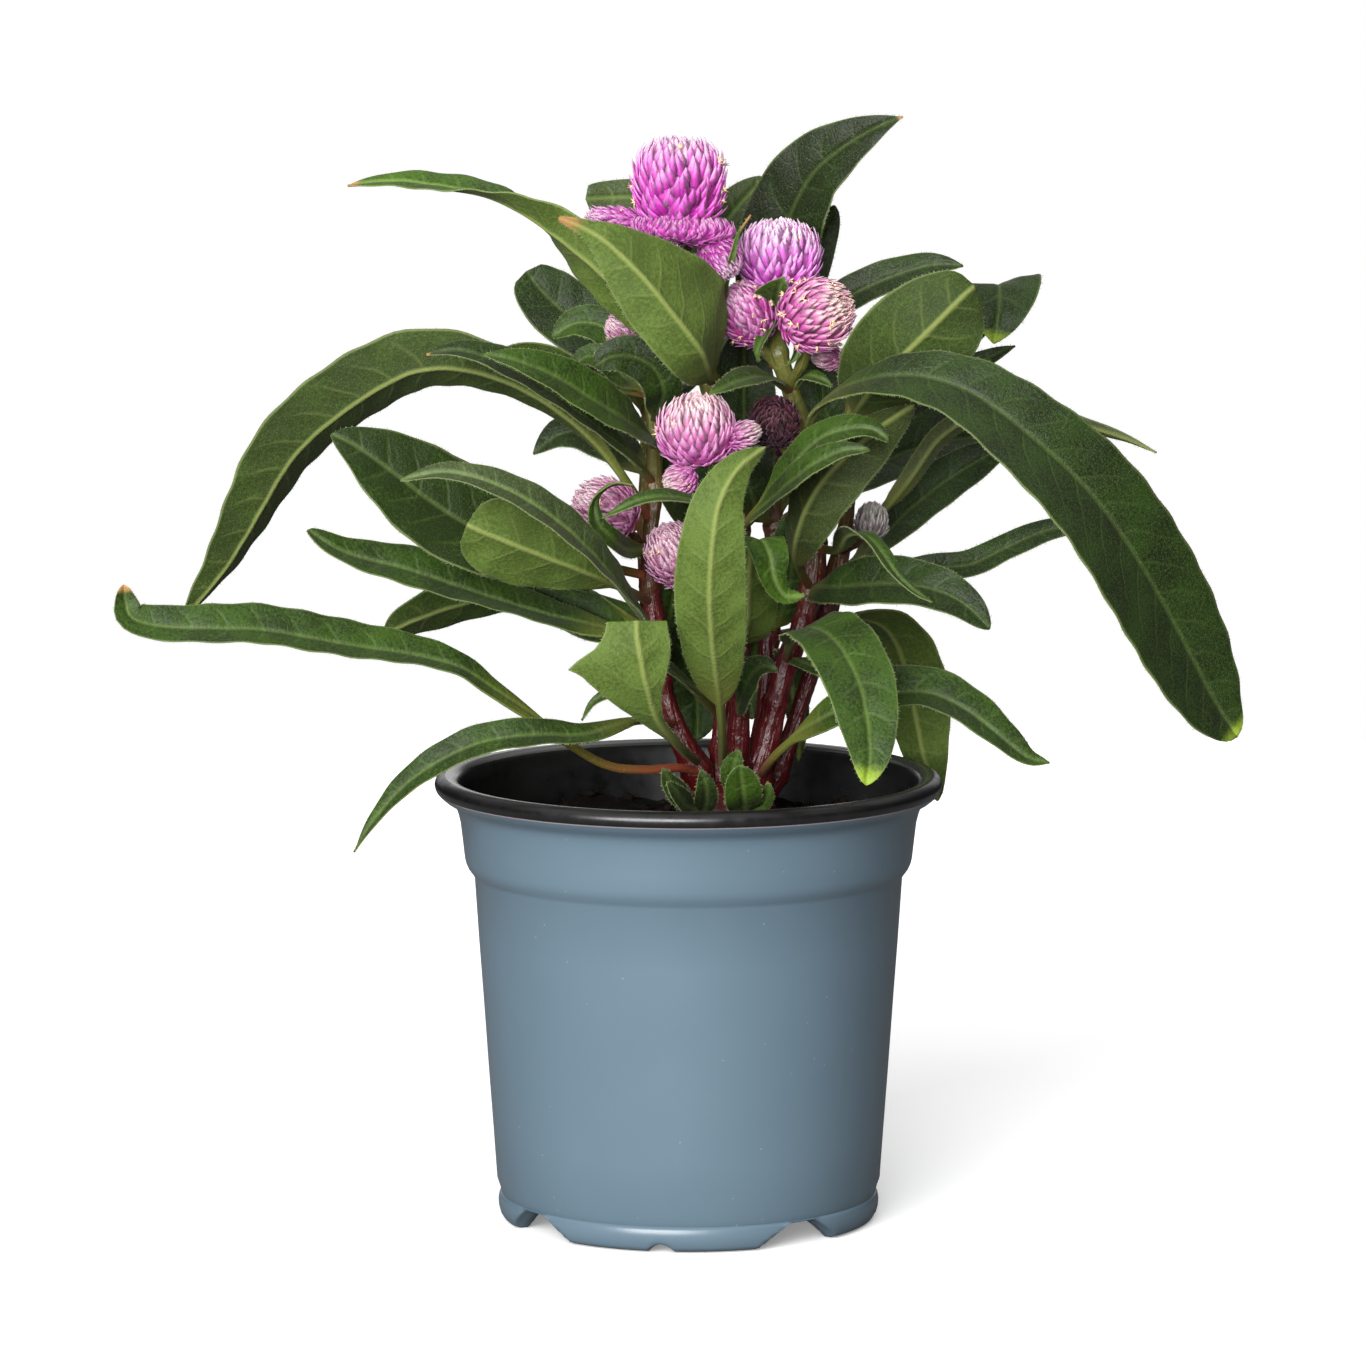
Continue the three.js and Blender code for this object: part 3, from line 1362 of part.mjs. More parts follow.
function addPiece(name, solid, colour, roughness) {
  const material = new THREE.MeshStandardMaterial({ color: colour, roughness, metalness: 0 });
  const mesh = new THREE.Mesh(toGeometry(solid), material);
  mesh.name = name;
  group.add(mesh);
}

const stemClearance = stems(GAP);
addPiece('pot', pot(), '#6f8597', 0.4);
addPiece('soil', soil(stemClearance), '#1b1512', 0.95);
addPiece('stems', mainBody(stems(0)), '#7b2528', 0.6);

// Opposite leaves of one node share a swollen collar round the stem, and other stalks start outside it.
const paired = Object.values(LEAVES).filter((leaf) => leaf.blades.length > 1);
Object.entries(LEAVES).forEach(([name, leaf]) => {
  let solid = fuse(leaf.blades.map(blade));
  if (leaf.blades.length > 1) {
    solid = solid.add(collar(leaf, 0));
  }
  paired.filter((other) => other !== leaf).forEach((other) => {
    solid = solid.subtract(collar(other, GAP));
  });
  addPiece(name, mainBody(solid.subtract(stemClearance)), GREENS[leaf.colour], 0.75);
});

Object.entries(BLOOMS).forEach(([name, bloom]) => {
  const solid = fuse(bloom.heads.map(head)).subtract(stemClearance);
  addPiece(name, mainBody(solid), BRACT_COLOURS[bloom.colour], 0.8);
});

export default group;
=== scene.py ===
# Potted globe amaranth: the looks of the plant and its nursery pot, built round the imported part.
# All shapes are worked out in millimetres and turned to metres when a mesh is made.
import math
from functools import partial
import bpy
import numpy as np
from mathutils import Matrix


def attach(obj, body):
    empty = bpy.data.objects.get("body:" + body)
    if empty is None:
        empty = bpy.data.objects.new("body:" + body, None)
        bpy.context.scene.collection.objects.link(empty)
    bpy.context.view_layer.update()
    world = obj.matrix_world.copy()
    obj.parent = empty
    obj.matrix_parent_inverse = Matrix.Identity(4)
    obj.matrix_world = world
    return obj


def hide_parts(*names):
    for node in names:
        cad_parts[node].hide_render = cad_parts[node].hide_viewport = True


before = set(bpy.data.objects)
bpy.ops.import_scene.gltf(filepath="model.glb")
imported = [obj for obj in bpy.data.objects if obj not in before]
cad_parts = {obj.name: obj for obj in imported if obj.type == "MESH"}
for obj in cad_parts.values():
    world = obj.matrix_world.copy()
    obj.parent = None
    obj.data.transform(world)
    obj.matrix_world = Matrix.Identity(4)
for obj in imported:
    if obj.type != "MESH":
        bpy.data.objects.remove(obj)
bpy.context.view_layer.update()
print("frame loaded:", len(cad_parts), "nodes")

# The eye that the plant's places are read from; the camera stands there too. Lengths in mm.
eye = {"distance": 1800.0, "height": 380.0, "across": -1.3, "downDegrees": 7.98, "lens": 203.1}


def numbers(text, width=3):
    # a table kept as text, with a comma after each row
    return np.array(text.replace(",", " ").split(), float).reshape(-1, width)


def placeAll(points):
    # [across, up, behind] as the eye sees it, to x, y, z
    across, up, behind = np.array(points, float).T
    spread = 1 + behind / eye["distance"]
    return np.stack([across * spread, behind, eye["height"] + (up - eye["height"]) * spread], 1)


def unit(vectors):
    return vectors / np.maximum(np.linalg.norm(vectors, axis=-1, keepdims=True), 1e-9)


def square(vectors, way):
    # turned square to a way
    return unit(vectors - way * np.sum(vectors * way, -1, keepdims=True))


def fullTurn(count):
    return np.arange(count) / count * 2 * math.pi


def circle(radius, angles, height):
    return np.stack([radius * np.cos(angles), radius * np.sin(angles), height + 0 * angles], 1)


def sideBySide(*parts):
    # grids of numbers as the columns of one table
    return np.stack(np.broadcast_arrays(*parts), -1).reshape(-1, len(parts))


def readRows(at, known, rows):
    # rows of numbers, read between the places where they are known
    return np.stack([np.interp(at, known, column) for column in rows.T], 1)


def lengthsAlong(points):
    return np.concatenate([[0], np.cumsum(np.linalg.norm(np.diff(points, axis=0), axis=1))])


def smoothLine(points, perSpan=24):
    # a smooth line through all the points, and the length along it; columns after the third ride along
    ends = np.vstack([2 * points[0] - points[1], points, 2 * points[-1] - points[-2]])
    t = (np.arange(perSpan) / perSpan)[:, None]
    spans = []
    for p0, p1, p2, p3 in zip(ends, ends[1:], ends[2:], ends[3:]):
        a, b = (p2 - p0) / 2, (p3 - p1) / 2
        spans.append(p1 + a * t + (3 * (p2 - p1) - 2 * a - b) * t ** 2 + (2 * (p1 - p2) + a + b) * t ** 3)
    line = np.vstack(spans + [points[-1:]])
    return line, lengthsAlong(line[:, :3])


def directions(line, lengths, shares, step=0.004):
    ends = [np.clip(shares + way * step, 0, 1) * lengths[-1] for way in (-1, 1)]
    return unit(np.subtract(*[readRows(at, lengths, line[:, :3]) for at in ends[::-1]]))


def newShape():
    return {"points": [], "faces": [], "slots": [], "map": [], "place": [], "tone": [], "count": 0}


def addPoints(shape, points, mapping=(0, 0), place=(0, 0, 0), tone=(0, 0, 0)):
    points = np.asarray(points, float).reshape(-1, 3)
    shape["points"].append(points)
    for key, given in (("map", mapping), ("place", place), ("tone", tone)):
        given = np.atleast_2d(given)
        shape[key].append(np.broadcast_to(given, (len(points), given.shape[1])))
    shape["count"] += len(points)
    return shape["count"] - len(points)


def addFaces(shape, faces, slot=0):
    shape["faces"].append(faces)
    shape["slots"].append(np.full(len(faces), slot))


def outward(points, faces):
    # 1 where the faces of one closed form look outwards, -1 where their corners have to be turned round
    corners = points[faces] - points.mean(0)
    fan = [np.sum(corners[:, 0] * np.cross(corners[:, k], corners[:, k + 1]))
           for k in range(1, faces.shape[1] - 1)]
    return 1 if sum(fan) > 0 else -1


def skin(k):
    # faces between rows of numbered points that run round
    beside = np.roll(k, -1, axis=1)
    return np.stack([k[:-1], beside[:-1], beside[1:], k[1:]], -1).reshape(-1, 4)


def addSheet(shape, top, bottom, slot, mapping, place, tone):
    # a closed sheet between two grids of rows and columns
    rows, columns = top.shape[:2]
    t = np.arange(rows * columns).reshape(rows, columns)
    b = t + rows * columns
    faces = np.concatenate([
        np.stack([t[:-1, :-1], t[1:, :-1], t[1:, 1:], t[:-1, 1:]], -1).reshape(-1, 4),
        np.stack([b[:-1, :-1], b[:-1, 1:], b[1:, 1:], b[1:, :-1]], -1).reshape(-1, 4),
        np.stack([t[:-1, 0], b[:-1, 0], b[1:, 0], t[1:, 0]], -1),
        np.stack([t[:-1, -1], t[1:, -1], b[1:, -1], b[:-1, -1]], -1),
        np.stack([t[0, :-1], t[0, 1:], b[0, 1:], b[0, :-1]], -1),
        np.stack([t[-1, :-1], b[-1, :-1], b[-1, 1:], t[-1, 1:]], -1),
    ])
    points = np.concatenate([top.reshape(-1, 3), bottom.reshape(-1, 3)])
    start = addPoints(shape, points, mapping, place, tone)
    addFaces(shape, start + faces[:, ::outward(points, faces)], slot)


def addTube(shape, rings, slots=0, mapping=(0, 0), place=(0, 0, 0), looped=False):
    # a skin over rings of points, closed by a point at each end, or by going on to the first ring.
    # slots: one number, or one for each band between two rings
    rows, around = rings.shape[:2]
    k = np.arange(rows * around).reshape(rows, around)
    faces = skin(np.vstack([k, k[:1]]) if looped else k)
    points = rings.reshape(-1, 3)
    turn = outward(points, faces)
    if not looped:
        points = np.concatenate([points, rings[:1].mean(1), rings[-1:].mean(1)])
    start = addPoints(shape, points, mapping, place)
    slots = np.broadcast_to(slots, len(faces) // around)
    addFaces(shape, start + faces[:, ::turn], np.repeat(slots, around))
    if not looped:
        for middle, row, step, slot in ((rows * around, k[0], -1, slots[0]),
                                        (rows * around + 1, k[-1], 1, slots[-1])):
            corners = [np.full(around, middle)] + [row, np.roll(row, -1)][::step]
            addFaces(shape, start + np.stack(corners, -1)[:, ::turn], slot)


def addHairs(shape, roots, ways, lengths, width, slot):
    # closed three-sided spikes
    across = unit(np.cross(ways, np.array([0.31, 0.52, 0.79])))
    third = np.cross(ways, across)
    corners = [roots + width * (math.cos(a) * across + math.sin(a) * third) for a in (0, 2.1, 4.2)]
    start = addPoints(shape, np.stack(corners + [roots + ways * lengths[:, None]], 1))
    first = start + 4 * np.arange(len(roots))[:, None]
    for corner in ((0, 1, 3), (1, 2, 3), (2, 0, 3), (2, 1, 0)):
        addFaces(shape, first + np.array(corner), slot)


def newObject(name, shape):
    mesh = bpy.data.meshes.new(name)
    faces = [face for block in shape["faces"] for face in block.tolist()]
    mesh.from_pydata((np.vstack(shape["points"]) * 0.001).tolist(), [], faces)
    made = bpy.data.objects.new(name, mesh)
    bpy.context.scene.collection.objects.link(made)
    return made


def makePiece(name, shape, materials, node):
    piece = newObject(name, shape)
    mesh = piece.data
    mesh.polygons.foreach_set("material_index", np.concatenate(shape["slots"]).astype(np.int32))
    mesh.polygons.foreach_set("use_smooth", np.ones(len(mesh.polygons), bool))
    corners = np.zeros(len(mesh.loops), np.int32)
    mesh.loops.foreach_get("vertex_index", corners)
    layer = mesh.uv_layers.new(name="surfaceMap")
    layer.uv.foreach_set("vector", np.vstack(shape["map"])[corners].astype(np.float32).ravel())
    for key in ("place", "tone"):
        attribute = mesh.attributes.new(key, "FLOAT_VECTOR", "POINT")
        attribute.data.foreach_set("vector", np.vstack(shape[key]).astype(np.float32).ravel())
    for material in materials:
        mesh.materials.append(material)
    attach(piece, "root")
    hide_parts(node)
    return piece


def paint(code):
    # an sRGB hex value as linear colour
    levels = [int(code[k:k + 2], 16) / 255 for k in (1, 3, 5)]
    return [v / 12.92 if v <= 0.04045 else ((v + 0.055) / 1.055) ** 2.4 for v in levels] + [1.0]


def setInputs(tree, made, inputs):
    # by number or name, or a list in order; each an output of another node, a value or a hex colour
    for key, value in (inputs.items() if isinstance(inputs, dict) else enumerate(inputs)):
        if isinstance(value, bpy.types.NodeSocket):
            tree.links.new(value, made.inputs[key])
        else:
            made.inputs[key].default_value = paint(value) if isinstance(value, str) else value


def addNode(tree, kind, settings=None, inputs=(), output=0):
    made = tree.nodes.new("ShaderNode" + kind)
    for key, value in (settings or {}).items():
        setattr(made, key, value)
    setInputs(tree, made, inputs)
    return made.outputs[output]


# settings that recur; "more" multiplies its first two inputs and adds the third
plus, times, more = {"operation": "ADD"}, {"operation": "MULTIPLY"}, {"operation": "MULTIPLY_ADD"}
smooth, colours = {"interpolation_type": "SMOOTHSTEP"}, {"data_type": "RGBA"}


def newMaterial(name, inputs=()):
    # gives the material, what adds a node to it and what sets its shader
    material = bpy.data.materials.new(name)
    material.use_nodes = True
    tree = material.node_tree
    setShader = partial(setInputs, tree, tree.nodes["Principled BSDF"])
    setShader(inputs)
    return material, partial(addNode, tree), setShader


leafForm = {
    "columns": (0, 0.045, 0.12, 0.26, 0.42, 0.58, 0.73, 0.86, 0.95, 1),  # from the midrib to an edge
    "rowSpacing": 1.6, "middleThickness": 0.85, "edgeThickness": 0.32,
    "stalkThickness": 1.7, "stalkWidth": 2.2, "tipWidth": 0.5,
    "opening": 0.2,  # share of the length over which the stalk opens into the blade
    "veinSpacing": 8.6, "veinSlant": 0.5, "veinBend": 0.045, "puff": 0.42,
    "groove": 0.3, "grooveWidth": 0.7, "ridge": 0.42, "ridgeWidth": 0.75,
    "edgeRipple": 0.3, "rippleLength": 1.7,
    "hairSpacing": 0.42, "hairShortest": 0.35, "hairLongest": 0.95, "hairWidth": 0.055,
}


def blade(width, stalk, full, blunt, fold, face, course, **others):
    return {"width": width, "stalk": stalk, "full": full, "blunt": blunt, "fold": fold,
            "face": numbers(face), "course": numbers(course), **others}


# For each blade in order: width at the widest place; share of the length that is stalk; how the width
# swells and how bluntly it closes; degrees that each half is raised; where the upper face looks, from the
# stem to the tip; the midrib's course from the stem to the tip, as across, up and behind.
# wave: height of the edge's waves. lean: share of each half. halves: the width of each half along the
# blade, in place of the rule. dry, yellow: length of the tip that has dried or paled. redStalk: how red
# the stalk is. shade: how much lighter or darker the leaf is. steps: stations of its twist.
leafPlans = {
    "leaf_top_upright": ("dark",
        blade(21, 0.12, 0.85, 1, 14, "0 -1 0.5, -0.3 -1 0.3", "20 203 6, 18 209 17, 19 220 23, "
            "21.2 231 24, 24.4 240.5 22, 29 248.3 19, 36 254.2 16, 43.6 258.6 14, 50 261.2 13", wave=0.6,
            shade=-2, dry=2)),
    "leaf_pair_behind_top_bloom": ("grey",
        blade(8.5, 0.1, 0.6, 0.16, 8, "-0.3 -1 0.3, 0 -1 0.3", "1.5 222 6, 4 230 15, 2 239 20, "
            "-6 242.3 21, -15 242.4 20, -24 242 18"),
        blade(11, 0.12, 0.9, 0.6, 10, "0.1 -1 0.3", "1.5 222 6, 5 230 24, 10.5 239 34, 18 247 38")),
    "leaf_pair_top_right": ("dark",
        blade(10, 0.14, 0.9, 0.8, 16, "-0.2 -0.8 0.6", "21 208 8, 29 213.5 13, 38 219.5 14, 48 224 13, "
            "57 226.5 12, 64.3 226.3 11", wave=0.5),
        blade(10, 0.14, 1.3, 0.6, 12, "0.2 -1 0.2", "21 208 8, 27 213 19, 27.8 223 31, 30.2 232 36, "
            "34.3 240.4 36")),
    "leaf_front_broad": ("light",
        blade(29, 0.14, 0.7, 1, 22, "-0.6 0.8 0.1", "5 199 6, 4.5 200.5 -6, 1 207 -17, -5 215 -21, "
            "-11.5 223.5 -23, -19 231.3 -23, -24.5 235 -22, -30.3 237.4 -20", wave=0.6, dry=9,
            halves=((1.1, 13, 19.5, 20, 17.5, 13, 8, 3, 0.7),
                    (1.1, 6, 8.5, 9, 9, 8, 5.5, 2.2, 0.7)))),
    "leaf_long_top_left": ("light",
        blade(17, 0.1, 0.6, 0.8, 14, "0.2 1 0.3, -0.1 0.9 0.5, -0.1 0.9 0.5, 0 0.8 0.6, 0.1 0.2 1, "
            "0 -0.3 1, 0 -0.5 0.9", "4 205 6, -2 208 0, -8 213 -4, -15 220 -5, -22.5 227.3 -3, "
            "-30 233.7 0, -38 239.5 4, -47 243.6 8, -57 245.2 12, -68 246.3 15, -79.7 245.2 17", wave=0.6,
            steps=13, dry=5)),
    "leaf_dark_left": ("dark",
        blade(17, 0.12, 0.8, 0.32, 10, "0.2 -1 0.4", "-9.5 202 8, -6.5 206 18, -9 208 29, -17.5 209.5 38, "
            "-27 214 42, -34 220 43, -38 225 44", wave=0.5)),
    "shoot_left_curled": ("middle",
        blade(10, 0.15, 0.8, 0.6, 16, "0 -1 0.6, -0.5 -0.8 0.6", "-9 196 9, -14 205 18, -19 211.5 21, "
            "-26 213 22, -32 209.5 22"),
        blade(7, 0.15, 0.8, 0.7, 16, "0 -1 0.6, -0.5 -0.8 0.6", "-9 196 9, -15 200 13, -19 204 14, "
            "-24 205 14, -27.5 201.5 13"),
        blade(8, 0.15, 0.9, 0.7, 12, "0 0.8 0.6", "-9 196 9, -18 198 20, -27 202 28, -36 205.8 31, "
            "-44.5 206.3 32")),
    "leaf_dark_curled": ("dark",
        blade(10.5, 0.1, 0.8, 0.5, 12, "0.1 -1 0.1, -0.1 -0.9 0.4", "-8 190 9, -7 193 2, -6 197 -3, "
            "-8 202 -5, -13 205 -6, -18 205 -7, -22 202.5 -7", wave=0.6)),
    "leaf_left_arching": ("middle",
        blade(21.5, 0.08, 1.5, 1, 22, "0.5 0.8 0.5, 0 0.85 0.6, -0.8 0.6 0.3", "-9 166 3, -13 173 1, "
            "-21 184 -1, -31 193 -3, -42 199.5 -4, -54 203 -5, -64 202.6 -5, -72.4 199 -4, -80.6 193.8 -3, "
            "-88.8 187.4 -2, -94.8 180.8 -1, -99.8 172.6 0, -104.6 164 0, -109.6 155.6 0, -115.3 148 0, "
            "-120.3 141 0", wave=0.8, lean=(1.07, 0.93), shade=-1.5, dry=1)),
    "leaf_pair_left_upper": ("dark",
        blade(12, 0.12, 0.9, 0.8, 18, "0.3 -0.5 0.8", "-8 175 5, -14 182 -7, -25 191.5 -14, -36 199.5 -18, "
            "-46 204.5 -20, -54 206.5 -21, -61.5 205.5 -21", wave=0.4, dry=1.6),
        blade(11.5, 0.15, 0.8, 0.8, 14, "0 -0.7 0.8, -0.4 -0.8 0.5", "-8 175 5, -15 182 14, -23 187 20, "
            "-30 186.8 22, -36.5 182 21"),
        blade(13, 0.12, 0.8, 0.6, 10, "0 -1 0.2", "-8 175 5, -4 178 12, 1 181.5 15, 7 184 16")),
    "leaf_left_upper_light": ("middle",
        blade(13, 0.12, 0.8, 0.8, 18, "0.3 -0.8 0.7", "-8 184 8, -10 187 -8, -14 190 -17, -22 195 -25, "
            "-31 200.5 -30, -40 204 -33, -48 205.5 -34", wave=0.4)),
    "leaf_mid_left_broad": ("middle",
        blade(26.5, 0.12, 0.85, 0.75, 10, "0.2 -0.8 0.7, 0.2 -0.85 0.6", "-9 153 1, -22 156 -3, "
            "-37 160 -7, -50 164.7 -11, -60 170.8 -13, -69.6 178 -15, -78 183.8 -16, -84 186.6 -16",
            wave=0.9, shade=-2.5)),
    "leaf_mid_left_grey": ("grey",
        blade(11, 0.15, 0.7, 0.7, 18, "0.2 -0.6 0.8", "-7 133 0, -8 139.5 -16, -13.4 147.5 -32, "
            "-20.8 157 -42, -29 165 -48, -38 171.4 -51, -47.5 175.8 -52, -57.5 177.8 -52, -67.8 175.8 -52",
            wave=0.4)),
    "leaf_spoon": ("light",
        blade(23, 0.36, 0.9, 0.36, 8, "0 0.9 0.4", "-9 147 1, -14 149.5 -14, -21 153 -24, -30 156.6 -30, "
            "-41 161 -34, -47 163.4 -35, -52.2 165.4 -36", wave=0.5)),
    "leaf_pair_mid_left_low": ("middle",
        blade(13, 0.12, 0.6, 0.5, 18, "0.2 -0.6 0.8", "-7 139 0, -18 140 5, -30 143.3 6, -42 147 6, "
            "-54 151 5, -66 155 4, -78 158 3, -84 160.4 2, -89.7 164 2", wave=1),
        blade(15, 0.15, 0.9, 0.5, 12, "0 0.8 0.6", "-7 139 0, -18 145 16, -32 148.3 26, -45 148.8 30, "
            "-56 146.2 31, -64.5 143 31, -71.5 139.6 31", wave=0.5),
        blade(12, 0.12, 0.6, 0.7, 12, "0 -0.9 0.4", "-7 139 0, -14 141 9, -22 143 14, -31 146 17, "
            "-40 148.5 19")),
    "leaf_low_left_long": ("middle",
        blade(13.5, 0.3, 0.9, 0.5, 20, "0.1 -0.6 0.9", "5 106 0, -2 107.5 -8, -10 107 -13, -19 108 -17, "
            "-28 113 -20, -37 119.7 -22, -46.3 126.2 -24, -54 131.6 -26, -65 134.9 -28, -78 137 -31, "
            "-90 139.2 -34, -101 141 -36, -112 141.2 -38, -123.6 141.4 -38, -131 143.2 -38, "
            "-132.6 147 -37, -133 151 -37", wave=0.4, dry=3, redStalk=0.75)),
    "leaf_low_left_drooping": ("middle",
        blade(9, 0.22, 0.9, 0.9, 18, "0 -0.7 0.8, -0.6 -0.7 0.5", "-3 118 -1, -12 118.8 -20, "
            "-24 115.6 -32, -36 115.6 -38, -48 114 -40, -58 109.8 -41, -67 103.5 -40, -74 95.5 -39, "
            "-79.3 87.3 -38", wave=0.4, redStalk=0.9),
        blade(3.4, 0.3, 0.8, 0.8, 10, "0 -0.6 0.8, -0.6 -0.7 0.5", "-3 118 -1, -9 123 8, -16 125.7 12, "
            "-22 123.5 12, -25.3 118.8 11")),
    "leaf_front_left_light": ("light",
        blade(24, 0.5, 0.7, 0.36, 8, "0 1 0.3, -0.2 0.95 0.3", "2 109 -1, 0 110.5 -18, -3 113.5 -34, "
            "-7.4 119 -46, -10 127 -53, -11.5 134 -55, -12.2 138 -55, -12.4 142.4 -54", wave=0.6, steps=12,
            redStalk=0.3,
            halves=((1.1, 1.1, 1.1, 1.1, 1.2, 1.5, 1.9, 2.3, 2.8, 3.8, 5, 6.1, 7.2, 7.6, 7.7, 7.6, 7.4),
                    (1.1, 1.4, 1.8, 2.4, 3, 4, 5.2, 6.6, 8, 9.4, 11, 12.7, 14.4, 17.4, 9, 7.2, 6.8)))),
    "leaf_front_centre": ("light",
        blade(17, 0.36, 0.7, 0.8, 14, "0 1 0.4, 0.1 1 0.1", "8 107 4, 8 114 -18, 7.3 124 -34, 5.8 136 -46, "
            "5 149 -54, 5.7 162 -58, 7.3 171 -58, 11.5 178.5 -55, 18 183.6 -50", wave=0.5, redStalk=0.3)),
    "leaf_centre_folded": ("light",
        blade(14, 0.08, 0.5, 0.8, 8, "0.1 0.9 0.3, 0.1 0.9 0.3, 0.1 0.9 0.4, 0.1 0.1 1, 0.2 -0.9 0.4, "
            "0.4 -0.8 0.5", "12 136 -6, 14 142 -18, 14.3 152 -26, 15 160 -31, 17 162 -35.5, 19 158 -39, "
            "20 152.5 -39.5, 22.5 148.5 -38, 27.5 148.5 -36", steps=10)),
    "leaf_front_right_drooping": ("middle",
        blade(17.5, 0.2, 0.8, 0.6, 12, "0 -0.2 1, 0.1 -0.8 0.6, 0.1 -1 0.2", "23 133 4, 24.5 138 -16, "
            "28.8 141.2 -32, 34.6 138 -46, 39.8 129 -57, 42 120 -63, 42.8 111 -68, 42 103.3 -71", wave=0.6,
            yellow=7),
        blade(4.5, 0.2, 0.8, 0.8, 12, "0.1 -0.7 0.7", "23 133 4, 27 132.5 -4, 32 130 -9, 35.5 126.5 -12"),
        blade(7, 0.15, 0.8, 0.8, 10, "0 0.3 0.9, 0.2 1 0.3", "23 133 4, 23 135 18, 24.5 127 25, 26 118 28, "
            "26 109 29")),
    "leaf_pair_right": ("dark",
        blade(14, 0.08, 0.6, 0.6, 16, "0 -0.8 0.6", "29 150 8, 32 150.5 -3, 40 151.3 -11, 49 151.5 -17, "
            "58 150 -21, 65 146.5 -23, 71 140.5 -24", wave=0.6),
        blade(17, 0.22, 0.9, 0.8, 22, "0.5 0.8 -0.3, 0.3 0.9 -0.3", "29 150 8, 25.6 157 -7, "
            "26.8 164.5 -15, 30.6 173 -19, 37 180.6 -20, 44.6 187.4 -18, 53 193.5 -14")),
    "leaf_right_narrow_curled": ("middle",
        blade(6, 0.15, 0.8, 0.8, 16, "0.2 -0.4 0.9, 0.5 -0.5 0.7", "30 160 9, 35 159.5 0, 37.5 163 -13, "
            "40.5 163.5 -22, 44.5 160 -28, 48.5 154 -32, 53 149.5 -34, 57.5 147 -35")),
    "leaf_pair_right_behind": ("dark",
        blade(7.5, 0.15, 0.8, 0.5, 12, "0 -0.8 0.6", "34 152 15, 43 153.5 17, 55 155 18, 66 155.8 19, "
            "75 160 20, 84 163.8 21, 94 165.5 21", wave=0.6),
        blade(12.5, 0.2, 0.9, 0.8, 14, "-0.3 -0.9 0.4", "34 152 15, 39.6 157 24, 45.6 162.6 29, 52 169 32, "
            "59.4 175 34, 68 180.4 35, 77.5 185.6 35", wave=0.5)),
    "leaf_right_drooping": ("dark",
        blade(31, 0.1, 1.3, 0.58, 14, "-0.2 -0.4 0.9, 0.2 -0.7 0.7, 0.5 -0.8 0.4, 0.6 -0.8 0.2",
            "28 184 9, 29 191 -8, 35 196.7 -20, 44 200.3 -28, 54 200.8 -33, 64.4 198 -37, 73 192.8 -39, "
            "81 186.5 -40, 89 179.5 -40, 97 171 -39, 104.5 160.5 -37, 112 148 -33, 118.5 135.5 -29, "
            "124.5 123.5 -25, 129.6 114.8 -22", wave=0.8, lean=(0.88, 1.16), yellow=5)),
    "leaf_pair_right_inner": ("middle",
        blade(10, 0.2, 0.9, 0.7, 14, "-0.3 -0.7 0.7, 0.2 -0.7 0.8", "12 164 -7, 18 171 -16, 24 179 -22, "
            "30 185.3 -26, 37 188 -29, 43 187.8 -31, 47 184.9 -32", wave=0.4),
        blade(8.5, 0.2, 0.9, 0.7, 14, "-0.3 -0.7 0.7, 0.2 -0.7 0.8", "12 164 -7, 16 168 -20, 22 174 -30, "
            "29 179.5 -36, 36 182.7 -39, 42.5 183 -40")),
    "leaf_right_grey_narrow": ("grey",
        blade(6.5, 0.15, 0.6, 0.8, 12, "0 0.8 0.6", "36.5 163 14, 43 166 14, 51 175 14, 59 186 14, "
            "68 191 13, 80 191.5 12, 92 189 10, 102 186 8, 110 182.4 6", wave=0.4)),
    "leaf_right_bright": ("middle",
        blade(26, 0.12, 0.7, 0.45, 10, "0.3 0.85 0.3", "38.5 190 10, 41.5 195 -4, 47 202 -14, "
            "53.5 208.5 -19, 60 215 -20, 64 219 -20, 67 221.5 -19", wave=0.7)),
    "leaf_pair_right_upper": ("dark",
        blade(21, 0.1, 1.8, 0.8, 6, "0 1 0.2, 0 1 0.3, 0 1 0.4, 0 0.8 0.8, 0 -0.7 0.6, 0 -1 0",
            "38.5 184 10, 49 197 24, 60 208 32, 68 217 35, 72 222 31, 72.8 221 24, 72.6 215.5 19, "
            "71.6 208 17", steps=14, yellow=5),
        blade(8, 0.15, 0.8, 0.8, 10, "0 -0.8 0.6", "38.5 184 10, 47 190 20, 57 197 25, 67 203 25, "
            "76.5 207.5 23"),
        blade(12, 0.12, 0.8, 0.6, 10, "0 -1 0.2", "38.5 184 10, 35 187 20, 32 193 24, 31.5 201 25, "
            "33.5 209 24")),
    "leaf_right_low": ("middle",
        blade(14, 0.26, 0.9, 0.8, 20, "0 -0.7 0.7, 0.3 -0.7 0.7", "16.5 105 0, 20 110 -14, 27 116 -22, "
            "36 121.5 -28, 47 125.5 -32, 57 125.8 -35, 66 121.5 -37, 74 115 -38, 80 110 -38, "
            "85.3 108.7 -37", wave=0.9)),
    "leaf_behind_right_drooping": ("light",
        blade(18, 0.12, 0.7, 0.7, 12, "0 0.4 0.9, 0.4 0.9 0.3", "31 139 16, 39 143.5 24, 47 141 32, "
            "51.6 131.5 39, 54 120 43, 56 110 45, 59 99.6 46", wave=0.5)),
    "leaf_centre_dark": ("dark",
        blade(9, 0.15, 0.9, 0.8, 12, "0 -0.8 0.6", "12 120 -5, 12.5 125 -16, 15 130 -20, 18 131.7 -22, "
            "21 130.5 -23")),
    "leaf_low_centre_small": ("middle",
        blade(6, 0.4, 0.9, 0.8, 14, "0.2 -0.5 0.8", "8.3 119 5, 4 123.5 -8, -2 129 -16, -8 133.5 -22, "
            "-13 137 -26")),
